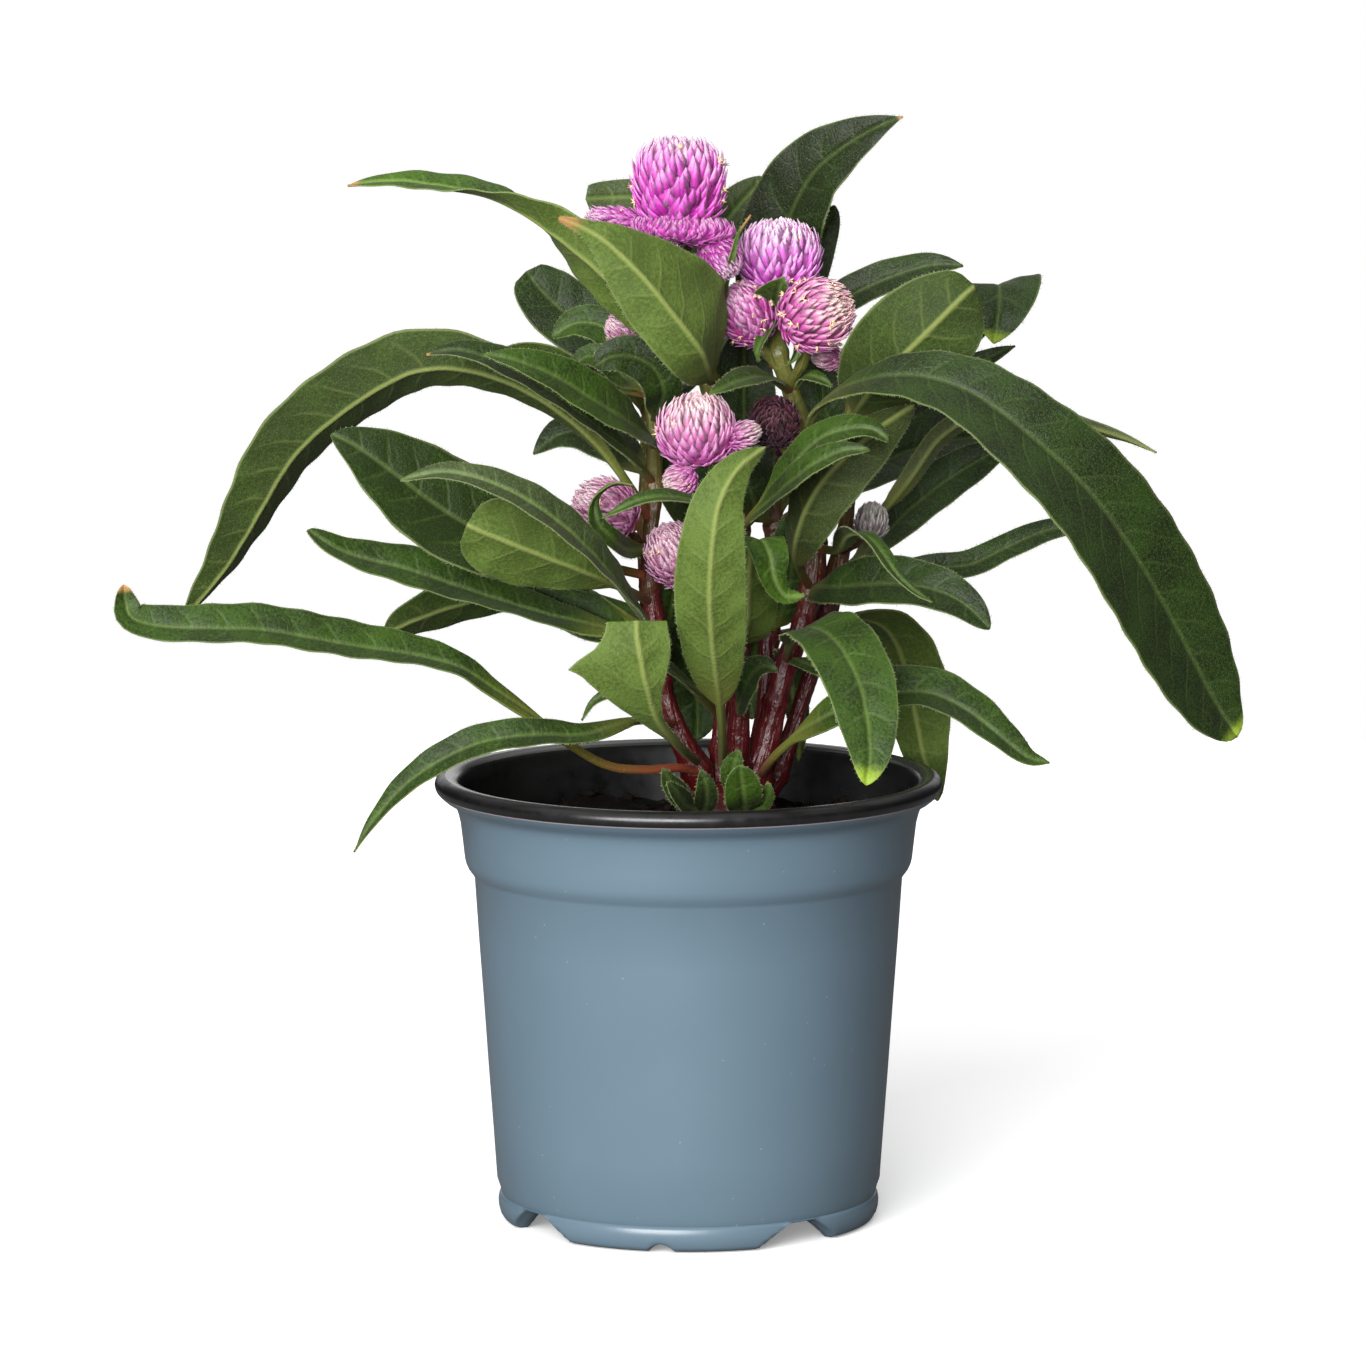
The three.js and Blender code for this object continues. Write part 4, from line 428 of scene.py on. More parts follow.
    "leaf_round_left_bloom": ("middle",
        blade(6, 0.15, 0.8, 0.8, 14, "0 -0.5 0.9", "10.5 170 -9, 3 170.5 -24, -4 172 -30, -11 171.3 -33, "
            "-17 168.5 -34, -20.5 167 -33")),
    "leaf_under_left_bloom": ("middle",
        blade(5, 0.15, 0.7, 0.8, 10, "0 -0.6 0.8, 0.9 -0.4 0.1, 0 -0.3 -0.9", "-9 160 2, -13.5 159.5 -13, "
            "-17 161.3 -25, -21.5 165.5 -28, -22 171 -27, -18 174.7 -25, -13 174.3 -24")),
    "leaf_pair_small_centre": ("middle",
        blade(7, 0.2, 0.9, 0.8, 14, "0 -0.7 0.7", "24 197 7, 18 200.5 -11, 12 199.5 -21, 5 196.2 -29"),
        blade(4, 0.2, 0.9, 0.8, 12, "0 -0.6 0.8", "24 197 7, 27 200.3 3, 30.5 199.8 0, 33.8 198 -1")),
    "shoot_base_left": ("dark",
        blade(5.5, 0.2, 0.9, 0.7, 12, "0 -0.9 0.5", "3 96 -5, -1 99.5 -13, -4.5 104 -17, -6 107.3 -18"),
        blade(5, 0.3, 0.9, 0.7, 12, "0 -0.9 0.5", "3 96 -5, 0 98.5 -17, -2.5 101 -23, -5 104 -26"),
        blade(5.5, 0.2, 0.9, 0.7, 12, "0 -0.9 0.5", "3 96 -5, 4 99 -13, 4 103 -17, 3 107 -18")),
    "shoot_base_right": ("middle",
        blade(9, 0.2, 0.8, 0.5, 12, "0 -0.9 0.5", "13 96 -5, 13 99 -15, 12.7 103 -19, 12 108 -21"),
        blade(6, 0.3, 0.9, 0.7, 12, "0 -0.9 0.5", "13 96 -5, 11 103 -10, 10.5 107.5 -12, 12 111.6 -13"),
        blade(4, 0.3, 0.9, 0.7, 10, "0 -0.9 0.5", "13 96 -5, 17 98.5 -12, 18.7 101.5 -15, 18.7 104 -16")),
    "leaf_pair_back_low_left": ("middle",
        blade(15, 0.14, 0.9, 0.6, 14, "0 0.2 1, -0.2 0.5 0.9", "-8 137 28, -22 142 41, -36 146.5 52, "
            "-51 147.5 60, -66 144.5 65", wave=0.8),
        blade(16, 0.14, 0.9, 0.6, 14, "0 -0.2 1, 0 0.8 0.6", "-8 137 28, -4 143 42, 0 145 54, 4 139 64, "
            "6 129 69", wave=0.8),
        blade(14, 0.12, 0.8, 0.6, 10, "0 -1 0.3", "-8 137 28, -3 137 36, 0.5 131 40, 2 123 41, 2 114 40"),
        blade(9, 0.12, 0.8, 0.6, 10, "0 -1 0.2", "-8 137 28, -5 142 22, -3.5 149 20, -3 157 20")),
    "leaf_pair_back_left": ("dark",
        blade(17, 0.14, 0.9, 0.6, 14, "0 -0.1 1, -0.1 0.2 1", "-10 166 35, -22 162 46, -36 163.5 55, "
            "-52 169 61, -66 177 64", wave=0.8),
        blade(16, 0.14, 0.9, 0.6, 14, "0 -0.2 1, 0 0.8 0.6", "-10 166 35, -7 173 46, -3 176 57, 1 171 66, "
            "3 161 70", wave=0.8)),
    "leaf_pair_back_low_right": ("middle",
        blade(15, 0.14, 0.9, 0.6, 14, "0 0.1 1, 0.3 0.8 0.5", "19 139 30, 29 140 44, 38 134 55, 43 123 62, "
            "46 110 66", wave=0.8),
        blade(14, 0.14, 0.9, 0.6, 14, "0 -0.4 1, 0 0.5 1", "19 139 30, 15 148 43, 13 153 54, 14 152 64, "
            "16 145 70", wave=0.8),
        blade(11, 0.12, 0.7, 0.6, 10, "0 -1 0.2", "19 139 30, 22 145 25, 24 153 22, 24 161 21, "
            "23.5 168 21"),
        blade(8, 0.12, 0.8, 0.6, 10, "0 -1 0.3", "19 139 30, 16 137 36, 14.5 129 39, 15 119 38")),
    "leaf_pair_back_right": ("dark",
        blade(19, 0.12, 0.8, 0.6, 14, "-0.2 -0.8 0.6, 0.2 -0.6 0.8", "20 165 37, 36 175 49, 54 184 56, "
            "74 186 61, 92 177 64, 103 164 65", wave=0.8),
        blade(14, 0.14, 0.9, 0.6, 14, "0 -0.2 1, 0 0.8 0.6", "20 165 37, 24 175 49, 27 178 59, 29 172 67, "
            "30 162 71", wave=0.8),
        blade(16, 0.12, 0.7, 0.45, 10, "0 -1 0.2", "20 165 37, 16 169 28, 13.5 178 25, 13 189 25, "
            "13 200 25, 13 211 25")),
    "leaf_pair_back_top": ("light",
        blade(13, 0.14, 0.9, 0.6, 12, "0.2 -0.9 0.3, 0.2 -0.9 0.4", "-9 189 40, -13 199 50, -17 209 57, "
            "-20 218 60, -22 226 60", wave=0.6),
        blade(15, 0.14, 0.9, 0.6, 12, "0 -0.5 1, 0 0.3 1", "-9 189 40, -1 200 51, 6 208 60, 11 211 67, "
            "16 209 71", wave=0.6)),
}


def halfWidths(along, plan):
    # how far the edge on each side lies from the midrib, one column a side
    onBlade = np.clip((along - plan["stalk"]) / (1 - plan["stalk"]), 0, 1)
    if "halves" in plan:
        halves = np.array(plan["halves"]).T
        return readRows(onBlade, np.linspace(0, 1, len(halves)), halves)
    full, blunt = plan["full"], plan["blunt"]
    peak = full / (full + blunt)
    swell = onBlade ** full * (1 - onBlade) ** blunt / (peak ** full * (1 - peak) ** blunt)
    stalk = leafForm["stalkWidth"]
    width = stalk * (1 - onBlade) + (plan["width"] - stalk * (1 - peak)) * swell
    return np.maximum(leafForm["tipWidth"], width)[:, None] / 2 * np.array(plan.get("lean", (1, 1)))


def upperSides(line, lengths, plan, along):
    # the way the upper face looks, carried along from the tip as in the solids, then read at each row
    steps = plan.get("steps") or int(np.clip(round(lengths[-1] / 10), 5, 12))
    stations = 1 - (1 - np.arange(steps + 1) / steps) ** 1.25
    faces = unit(plan["face"]) if len(plan["face"]) > 1 else plan["face"]
    looks = readRows(stations, np.linspace(0, 1, len(faces)), faces)
    upper, found = np.zeros(3), []
    for look, tangent in zip(looks[::-1], directions(line, lengths, stations)[::-1]):
        upper = square(0.8 * upper + look, tangent)
        found.append(upper)
    tangent = directions(line, lengths, along)
    return square(readRows(along, stations, np.array(found[::-1])), tangent), tangent


def addBlade(shape, plan, draw, shade, slot=0):
    form, stalk = leafForm, plan["stalk"]
    line, lengths = smoothLine(placeAll(plan["course"]))
    length = lengths[-1]
    rows = int(np.clip(math.ceil(length / form["rowSpacing"]), 16, 96))
    along = 1 - (1 - np.arange(rows + 1) / rows) ** 1.2  # closer together towards the tip
    centre = readRows(along * length, lengths, line)
    upper, tangent = upperSides(line, lengths, plan, along)
    side = np.cross(tangent, upper)
    halves = halfWidths(along, plan)
    half = halves.mean(1)[:, None]
    columns = np.array(form["columns"])
    edge = np.concatenate([-columns[:0:-1], columns])[None, :]
    reach, sign = np.abs(edge), np.sign(edge)
    widest = np.where(edge < 0, halves[:, :1], halves[:, 1:])
    fold = math.radians(plan["fold"])
    t = along[:, None]
    s = t * length
    onBlade = np.clip((t - stalk) / form["opening"], 0, 1)
    offset = edge * widest * math.cos(fold)
    x = np.abs(offset)
    size = np.clip(half / 8, 0.15, 1)  # narrow blades are puffed and rippled less
    wave = plan.get("wave", 0) * np.sin(np.pi * t) * np.sin(9 * t + 2 * sign)
    raised = math.sin(fold) * (widest * reach ** 1.2 - half * 0.5) + wave * reach ** 1.3
    veins = (s - form["veinSlant"] * x - form["veinBend"] * x ** 2) / form["veinSpacing"]
    between = (0.5 - 0.5 * np.cos(2 * np.pi * veins)) * np.sin(np.pi * reach ** 0.8)
    ripple = reach ** 4 * np.sin(s / form["rippleLength"] + draw.uniform(0, 6) + 1.3 * sign)
    raised = (raised + size * (form["puff"] * between + form["edgeRipple"] * ripple)) * onBlade
    stalkRound = form["stalkThickness"] * np.sqrt(1 - 0.85 * edge ** 2)
    bladeFlat = form["middleThickness"] + (form["edgeThickness"] - form["middleThickness"]) * reach ** 1.5
    thickness = stalkRound + (bladeFlat - stalkRound) * onBlade
    groove = form["groove"] * np.exp(-(x / form["grooveWidth"]) ** 2) * onBlade
    ridge = form["ridge"] * (1 - 0.75 * t) * np.exp(-(x / form["ridgeWidth"]) ** 2)
    middle = centre[:, None] + side[:, None] * offset[..., None]
    top = middle + upper[:, None] * (raised + thickness / 2 - groove)[..., None]
    bottom = middle + upper[:, None] * (raised - thickness / 2 - ridge)[..., None]
    mapping = sideBySide(s / 100, offset / 100)
    place = sideBySide(shade, reach * (onBlade > 0), x * 0)
    dry, yellow = [np.clip((s - length + far) / far, 0, 1) if far else s * 0
                   for far in (plan.get("dry"), plan.get("yellow"))]
    nearStem = np.clip(1 - t / max(stalk, 0.05), 0, 1) * plan.get("redStalk", 0.6)
    tone = sideBySide(1 - onBlade + nearStem, dry, yellow + x * 0)
    addSheet(shape, top, bottom, slot, np.tile(mapping, (2, 1)), np.vstack([place, place + [0, 0, 1]]),
             np.tile(tone, (2, 1)))
    # the pale hairs along both edges
    count = int(length * (1 - stalk) / form["hairSpacing"])
    for sign, column in ((-1, 0), (1, -1)):
        at = draw.uniform(stalk + 0.02, 0.995, count)
        rim = (top[:, column] + bottom[:, column]) / 2
        root, away, ahead, up = [readRows(at, along, rows) for rows in (rim, side, tangent, upper)]
        ways = unit(sign * away + ahead * draw.uniform(0, 0.7, (count, 1))
                    + up * draw.normal(0, 0.4, (count, 1)))
        hairs = draw.uniform(form["hairShortest"], form["hairLongest"], count)
        addHairs(shape, root - ways * 0.1, ways, hairs, form["hairWidth"], slot + 1)


leafLooks = {
    # upper: deep and lit green. under: the same for the underside. down, veins: how much they show
    "dark": {"upper": ("#101b04", "#1e3308"), "under": ("#253110", "#323f17"), "down": 0.2, "veins": 0.05},
    "middle": {"upper": ("#182806", "#2c450a"), "under": ("#24330a", "#32470f"), "down": 0.14, "veins": 0.08},
    "light": {"upper": ("#22350a", "#3c5b0f"), "under": ("#3c4e18", "#506426"), "down": 0.14, "veins": 0.2},
    "grey": {"upper": ("#283418", "#3b4826"), "under": ("#444e2d", "#57603e"), "down": 0.28, "veins": 0.14},
}


def makeLeafMaterial(name, look):
    # Living leaf, thin and softly downy: satin deep green above, paler and duller below. Veins are faint
    # and sunk above, raised below; the down shows as a fine pale grain.
    material, node, setShader = newMaterial(name, {
        "IOR": 1.4, "Specular IOR Level": 0.32, "Sheen Weight": 0.035, "Sheen Roughness": 0.5,
        "Sheen Tint": "#e6ead2"})
    uv = node("UVMap", {"uv_map": "surfaceMap"})  # in units of 100 mm
    along, across, _ = node("SeparateXYZ", None, [uv]).node.outputs
    place, tone = [node("Attribute", {"attribute_name": key}, output="Vector") for key in ("place", "tone")]
    shade, reach, under = node("SeparateXYZ", None, [place]).node.outputs
    stalk, dryTip, yellowTip = node("SeparateXYZ", None, [tone]).node.outputs
    x = node("Math", {"operation": "ABSOLUTE"}, [across])
    # blotches about 11 mm across, a grain of 0.9 mm and down of 0.35 mm
    blotch = node("TexNoise", None, {"Vector": uv, "Scale": 9.0, "Detail": 3.0})
    grain = node("TexNoise", None, {"Vector": uv, "Scale": 110.0, "Detail": 3.0, "Roughness": 0.7})
    down = node("TexNoise", None, {"Vector": uv, "Scale": 290.0, "Detail": 1.0})
    # side veins slope and bend towards the tip, and wander
    run = node("Math", plus, [along, node("Math", more, [blotch, 0.05, -0.025])])
    run = node("Math", more, [x, -leafForm["veinSlant"], run])
    run = node("Math", more, [node("Math", times, [x, x]), leafForm["veinBend"] * -100, run])
    run = node("Math", times, [run, 100 / leafForm["veinSpacing"]])
    gap = node("Math", {"operation": "PINGPONG"}, [run, 0.5])
    line = node("MapRange", smooth, [gap, 0.0, 0.1, 1.0, 0.0])
    sideVein = node("Math", times, [line, node("MapRange", smooth, [reach, 0.4, 0.95, 1.0, 0.0])])
    net = node("TexVoronoi", {"feature": "DISTANCE_TO_EDGE"}, {"Vector": uv, "Scale": 48.0})
    smallVein = node("MapRange", smooth, [net, 0.0, 0.14, 1.0, 0.0])  # meshes of about 2 mm
    midrib = node("MapRange", smooth, [x, 0.002, 0.011, 1.0, 0.0])
    patch = node("Math", more, [grain, 1.3, node("Math", more, [shade, 0.08, blotch])])
    patch = node("MapRange", smooth, [patch, 0.95, 1.37, 0.0, 1.0])

    def layered(base, *layers):
        # the base with colours laid over it, each where its mask is
        for mask, strength, colour in layers:
            share = node("Math", times, [mask, strength])
            base = node("Mix", colours, {0: share, 6: base, 7: colour}, 2)
        return base

    downy = node("MapRange", smooth, [down, 0.5, 0.74, 0.0, 1.0])
    veins, (deep, lit) = look["veins"], look["upper"]
    above = layered(node("Mix", colours, {0: patch, 6: deep, 7: lit}, 2),
                    (smallVein, veins * 0.2, "#66803a"), (sideVein, veins, "#75904a"),
                    (midrib, veins * 2, "#7f9850"), (downy, look["down"], "#787e56"))
    deep, lit = look["under"]
    below = layered(node("Mix", colours, {0: patch, 6: deep, 7: lit}, 2),
                    (smallVein, 0.06, "#616b33"), (sideVein, 0.22, "#6a733c"),
                    (midrib, 0.7, "#7d8848"), (downy, look["down"] * 0.9, "#90956a"))
    uneven = [node("Math", more, [grain, 0.28, tip]) for tip in (yellowTip, dryTip)]
    yellowed, dried = [node("MapRange", smooth, [tip, 0.35, 0.95, 0.0, 1.0]) for tip in uneven]
    # pale along the edge; the stalk reddens towards the stem
    colour = layered(node("Mix", colours, {0: under, 6: above, 7: below}, 2),
                     (node("MapRange", smooth, [reach, 0.94, 1.0, 0.0, 1.0]), 0.38, "#87925a"),
                     (node("MapRange", smooth, [stalk, 0.2, 1.0, 0.0, 1.0]), 0.7, "#5c5f23"),
                     (node("MapRange", smooth, [stalk, 1.0, 1.6, 0.0, 1.0]), 0.9, "#742a20"),
                     (yellowed, 0.7, "#8fa832"), (dried, 1.0, "#9c7648"))
    rough = node("Math", more, [grain, 0.2, node("MapRange", None, [under, 0.0, 1.0, 0.42, 0.6])])
    vein = node("Math", {"operation": "MAXIMUM"}, [node("Math", times, [sideVein, 0.6]), midrib])
    relief = node("Math", times, [grain, 0.3])
    for mark, sunk, proud in ((vein, -0.45, 0.4), (smallVein, -0.1, 0.1)):
        height = node("MapRange", None, [under, 0.0, 1.0, sunk, proud])
        relief = node("Math", more, [mark, height, relief])
    bump = node("Bump", None, {"Strength": 0.7, "Distance": 0.0006, "Height": relief})
    setShader({"Base Color": colour, "Roughness": rough, "Normal": bump})
    return material


# clear hairs that look whitish
hairMaterial = newMaterial("paleLeafHair", {"Roughness": 0.6, "Base Color": "#98a47c"})[0]
leafMaterials = {tone: makeLeafMaterial("downyLeaf" + tone.capitalize(), look)
                 for tone, look in leafLooks.items()}
for number, (name, (tone, *blades)) in enumerate(leafPlans.items()):
    draw = np.random.default_rng(100 + number)
    shape = newShape()
    for plan in blades:
        addBlade(shape, plan, draw, plan.get("shade", draw.uniform(-1, 1)))
    makePiece(name.replace("leaf_", "leafBlade_").replace("shoot_", "leafShoot_"), shape,
              [leafMaterials[tone], hairMaterial], name)
print("leaves made:", len(leafPlans))


stemForm = {
    "sides": 18, "rowSpacing": 0.9, "unevenness": 0.1, "rib": 0.04, "swelling": 0.26, "swellingLength": 1.6,
    "crownCentre": (9.5, 95.5, 3), "crownHalf": (11, 9.5, 10), "crownSides": 28,  # across, up, behind
}

# each stem as across, up, behind and radius, thicker at the joints
stemPlans = {
    "left": "5 98 0 2.8, 2 107 -1 3.1, -3 117 -1 2.6, -6 128 0 2.1, -7 138 0 2.5, -9 151 1 2.1, "
        "-9 163 3 1.8, -8 174 5 2.2, -8 186 9 1.6, -9 198 9 1.8, -11 204 7 1.2, -14 209.5 5 1.1",
    "centre": "8 98 3 2.8, 8 112 4 2.6, 8.5 124 6 2.3, 8 138 8 2.5, 8 152 9 1.9, 7 168 9 2, 6 184 8 1.7, "
        "5 199 6 2.1, 3 211 7 1.5, 1.5 222 6 1.9, -1 231 2 1.4, -2 238 0 1.3",
    "front": "11 98 -3 2.6, 11.5 108 -4 2.9, 12 120 -5 2.4, 12 136 -6 2.3, 12.5 150 -6 1.8, 12 164 -7 2.2, "
        "9.5 173 -10 1.5, 4.5 183 -15 1.3",
    "right": "14 98 0 3, 16 105 0 3.6, 18.5 114 1 3.3, 20.5 123 2 2.8, 23 132 4 3.2, 27 142 7 2.3, "
        "29 150 8 2.9, 30 161 9 2.3, 29.5 173 9 1.9, 28 184 9 2.3, 24 197 7 2, 21 206 6 2.1, "
        "21 213 11 1.4, 21.5 221 8 1.4",
    "backRight": "16 97 7 2.4, 21 106 12 2.4, 26 121 15 2, 31 137 16 2.3, 34 151 15 2.4, 36.5 162 14 2, "
        "38 174 12 1.5, 38.5 187 10 2, 38.5 199 7 1.2",
    "backLeft": "4 96 8 2.3, 1 105 14 2.4, -4 121 22 2, -8 137 28 2.4, -10 152 32 1.7, -10 166 35 2.2, "
        "-10 178 38 1.5, -9 189 40 2, -8 197 42 1.3",
    "back": "11 96 10 2.4, 15 106 17 2.4, 18 123 25 2, 19 139 30 2.4, 20 152 34 1.7, 20 165 37 2.2, "
        "20 174 40 1.4, 20.5 182 44 1.3",
    "toBloomLeft": "-9 157 2 1.5, -13 162 -3 1.2, -17 165.5 -9 1.1",
    "toBloomBehindLeaf": "8 138 8 1.6, 4 145 0 1.2, 0 152 -7 1.1",
    "toBloomHalfHidden": "22.5 201 6 1.4, 18 206 5 1.1, 15 210 4 1.1",
    "toBloomRound": "23.5 198 6 1.4, 26.5 203 1 1.2, 28.5 208.5 -4 1.1",
    "toBloomMaroon": "29.5 173 9 1.3, 25 179 3 1.1, 21.5 185 -2 1.1",
    "toBloomWilted": "36 159 14 1.4, 39.5 161 8 1, 42 163.5 4 1",
}


def makeStems():
    shape, form = newShape(), stemForm
    draw = np.random.default_rng(5)
    angles = fullTurn(form["sides"])
    for text in stemPlans.values():
        course = numbers(text, 4)
        line, lengths = smoothLine(np.hstack([placeAll(course[:, :3]), course[:, 3:]]))
        rows = int(lengths[-1] / form["rowSpacing"])
        shares = np.linspace(0, 1, rows + 1)
        centres, ways = readRows(shares * lengths[-1], lengths, line), directions(line, lengths, shares)
        joints = placeAll(course[1:-1:2, :3])  # every second place of a course
        side, rings = np.array([1.0, 0.2, 0.0]), []
        for k, (*centre, thickness) in enumerate(centres):
            side = square(side, ways[k])
            uneven = 1 + form["unevenness"] * np.sin(2 * angles + k * 0.13) * draw.uniform(0.3, 1)
            uneven = uneven + form["rib"] * np.sin(6 * angles + k * 0.02)
            away = np.linalg.norm(joints - centre, axis=1).min()
            uneven = uneven + form["swelling"] * math.exp(-(away / form["swellingLength"]) ** 2)
            radius = thickness * uneven * (0.45 if k == rows else 1)
            rings.append(centre + circle(radius, angles, 0) @ [side, np.cross(ways[k], side), ways[k]])
        mapping = sideBySide(shares[:, None] * lengths[-1] / 100, angles[None] / 60)
        addTube(shape, np.array(rings), 0, np.vstack([mapping, [[0, 0], [lengths[-1] / 100, 0]]]))
    # the crown that they grow from
    turns, rings = fullTurn(form["crownSides"]), []
    wide, high, deep = form["crownHalf"]
    for level in np.linspace(-0.97, 0.97, 15):
        girth = math.sqrt(1 - level ** 2) * (1 + 0.06 * np.sin(3 * turns + 5 * level)
                                             + 0.04 * np.sin(7 * turns - 3 * level))
        rings.append(placeAll([form["crownCentre"]]) + circle(girth, turns, level) * [wide, deep, high])
    addTube(shape, np.array(rings))
    return shape


def makeStemMaterial():
    # Living herbaceous stem, wine red low down and olive towards the heads, smooth and slightly waxy, with
    # fine lengthwise streaks
    material, node, setShader = newMaterial("wineRedStem", {"IOR": 1.46})
    where = node("TexCoord", output="Object")
    height = node("SeparateXYZ", None, [where], 2)
    uv = node("UVMap", {"uv_map": "surfaceMap"})
    streaked = node("Mapping", None, {"Vector": uv, "Scale": (12, 160, 1)})  # streaks 0.6 mm wide
    streak = node("TexNoise", None, {"Vector": streaked, "Scale": 1.0, "Detail": 3.0})
    blotch = node("TexNoise", None, {"Vector": where, "Scale": 160.0, "Detail": 3.0})  # 6 mm
    scar = node("TexNoise", None, {"Vector": where, "Scale": 520.0, "Detail": 3.0})  # 2 mm
    red = node("Mix", colours, {0: streak, 6: "#240507", 7: "#5a1214"}, 2)
    green = node("Mix", colours, {0: streak, 6: "#454c20", 7: "#6f7437"}, 2)
    high = node("Math", more, [blotch, 0.05, height])
    share = node("MapRange", smooth, [high, 0.165, 0.225, 0.0, 0.85])
    relief = node("Math", more, [scar, 1.2, streak])
    setShader({"Base Color": node("Mix", colours, {0: share, 6: red, 7: green}, 2),
               "Roughness": node("MapRange", None, [streak, 0.2, 0.8, 0.25, 0.45]),
               "Normal": node("Bump", None, {"Strength": 0.75, "Distance": 0.0006, "Height": relief})})
    return material


makePiece("wineRedStems", makeStems(), [makeStemMaterial()], "stems")
print("stems made:", len(stemPlans))


headForm = {
    "bractPitch": 2.6, "bractLength": 6.6, "bractWidth": 3.1, "bractDepth": 0.35,
    # a bract from its root to its tip: place along it, width and depth
    "sections": ((0, 0.6, 0.8), (0.25, 1, 1), (0.5, 0.95, 1), (0.72, 0.62, 0.85), (0.88, 0.3, 0.6),
                 (1, 0.02, 0.1)),
    "rootDepth": 2.1, "crownDepth": 1.7,  # how deep the roots lie in the head, and how much more at its crown
    "tipOut": (-0.35, 0.85), "crownStart": 0.68, "crownLift": 60, "jitter": 0.5,
    "coreInset": 1.6, "coreSides": 24, "coreRows": 16,  # the core closes the gaps between the bracts
    "floretLength": 2.1, "floretWidth": 0.3, "floretPoints": 5,
}

# For each head in order: centre, width and height; where its top looks; 2 is an egg and more is squarer;
# how untidy its bracts are, if they are.
headPlans = {
    "bloom_top": ("magenta", [((-2.3, 245, -0.5), 22, 23, (0, 0, 1), 2.7),
        ((-1.5, 235, -1), 25, 8, (0.05, 0, 1), 2, 0.5), ((-16, 236.8, 5), 7, 17, (-1, 0, 0.12), 2, 0.4),
        ((7.3, 228.3, -4), 10.5, 11.5, (0.5, -0.4, -0.6), 2)]),
    "bloom_upper_right": ("orchid", [((21.4, 228.4, 7), 20, 17.5, (0.05, -0.1, 1), 2.4)]),
    "bloom_right_round": ("pink", [((29.6, 214.7, -7), 17.5, 18.5, (0.85, -0.5, 0.35), 2.2)]),
    "bloom_half_hidden": ("rose", [((13.7, 214.8, 3.5), 14.5, 16, (-0.5, -0.5, 0.7), 2.2)]),
    "bloom_centre": ("pale", [((1.9, 187.3, -16), 19, 17.4, (-0.05, -0.3, 1), 2.3),
        ((12.3, 186.3, -17), 7, 10, (0.9, -0.2, 0.35), 2),
        ((-1.6, 176, -17.5), 8, 9, (-0.8, -0.3, -0.25), 2)]),
    "bloom_left": ("dusky", [((-19.3, 168.8, -13), 15, 16.4, (-0.8, -0.3, 0.45), 2.2)]),
    "bloom_behind_leaf": ("dusky", [((-2.8, 158, -11), 15, 16, (-0.4, -0.5, 0.75), 2.2)]),
    "bloom_small_right": ("dusky", [((38.6, 203.8, 5.5), 7.5, 10, (0.1, -0.2, 1), 2),
        ((33.3, 204.6, 5), 6, 9, (-1, -0.2, 0.1), 2)]),
    "bloom_left_small": ("dusky", [((-15.2, 211.3, 4), 9, 9, (-0.7, -0.4, 0.4), 2)]),
    "bloom_wilted": ("wilted", [((43, 165.6, 2), 8.5, 10.5, (0.1, -0.3, 1), 2)]),
    # this head's near-black colour, set in headLooks, is painted shade
    "bloom_maroon": ("maroon", [((20, 189.5, -4), 12.5, 12, (0, -0.6, 0.7), 2.2)]),
    "bloom_back_left": ("pink", [((-8, 203, 43), 16, 16, (-0.1, 0.3, 1), 2.3)]),
    "bloom_back_right": ("pink", [((21, 186, 49), 14, 14, (0.2, 0.8, 0.7), 2.3)]),
}

# the small leafy bracts that stand at the foot of a head, as blades
headBracts = {
    "bloom_upper_right": [
        blade(12, 0.15, 0.8, 1.1, 20, "0 -1 0.3", "21 215.5 6, 20.6 218 0, 21 220.5 -3.5, 22.3 223.6 -5"),
        blade(4.2, 0.1, 0.8, 0.9, 35, "-0.5 -1 0.4", "21 211.5 9, 19.6 213.2 3, 17.6 210 -1, "
            "16.2 206.5 -2.5, 16.4 203.6 -1.5"),
        blade(4.2, 0.1, 0.8, 0.9, 35, "0.6 -1 0.3", "21.3 211.5 9, 23 213 3, 25.4 209.6 -1, 25.4 205.8 -3, "
            "23.2 202.6 -2")],
    "bloom_top": [
        blade(1.7, 0.1, 0.7, 0.9, 20, "0.3 -1 0", "7.5 217 1, 8.6 223 -5, 10.3 228.5 -9, 11.6 233.5 -8, "
            "14.6 238.2 -5", dry=8)],
}

# colour of a head from its foot to its crown, at the root and at the tip of each bract, and how many
# withered florets show between the bracts; slot: the finish in the record, if it has another name
headLooks = {
    "magenta": {"roots": ("#b01c97", "#c850ae"), "tips": ("#da62c2", "#f2b8de"), "florets": 16},
    "orchid": {"roots": ("#b836ac", "#da80cc"), "tips": ("#e58ad9", "#f6cdea"), "florets": 6,
               "slot": "magenta"},
    "pink": {"roots": ("#ad3089", "#c46a9c"), "tips": ("#d67ab4", "#ecc0b8"), "florets": 40},
    "rose": {"roots": ("#a52483", "#b84c96"), "tips": ("#cc68b0", "#e4a8cc"), "florets": 40,
             "slot": "dusky"},
    "pale": {"roots": ("#b53c97", "#c9829f"), "tips": ("#d67cbc", "#ecc6cd"), "florets": 12},
    "dusky": {"roots": ("#8a3562", "#ad6c8d"), "tips": ("#bf74a4", "#e3b4c4"), "florets": 16},
    # near black: painted shade, for a head that stands in the shadow of the leaves around it
    "maroon": {"roots": ("#16050a", "#220810"), "tips": ("#310c16", "#441722"), "florets": 0},
    "wilted": {"roots": ("#6d5f62", "#8c7e7e"), "tips": ("#ab9b9c", "#c4b6b1"), "florets": 8},
}


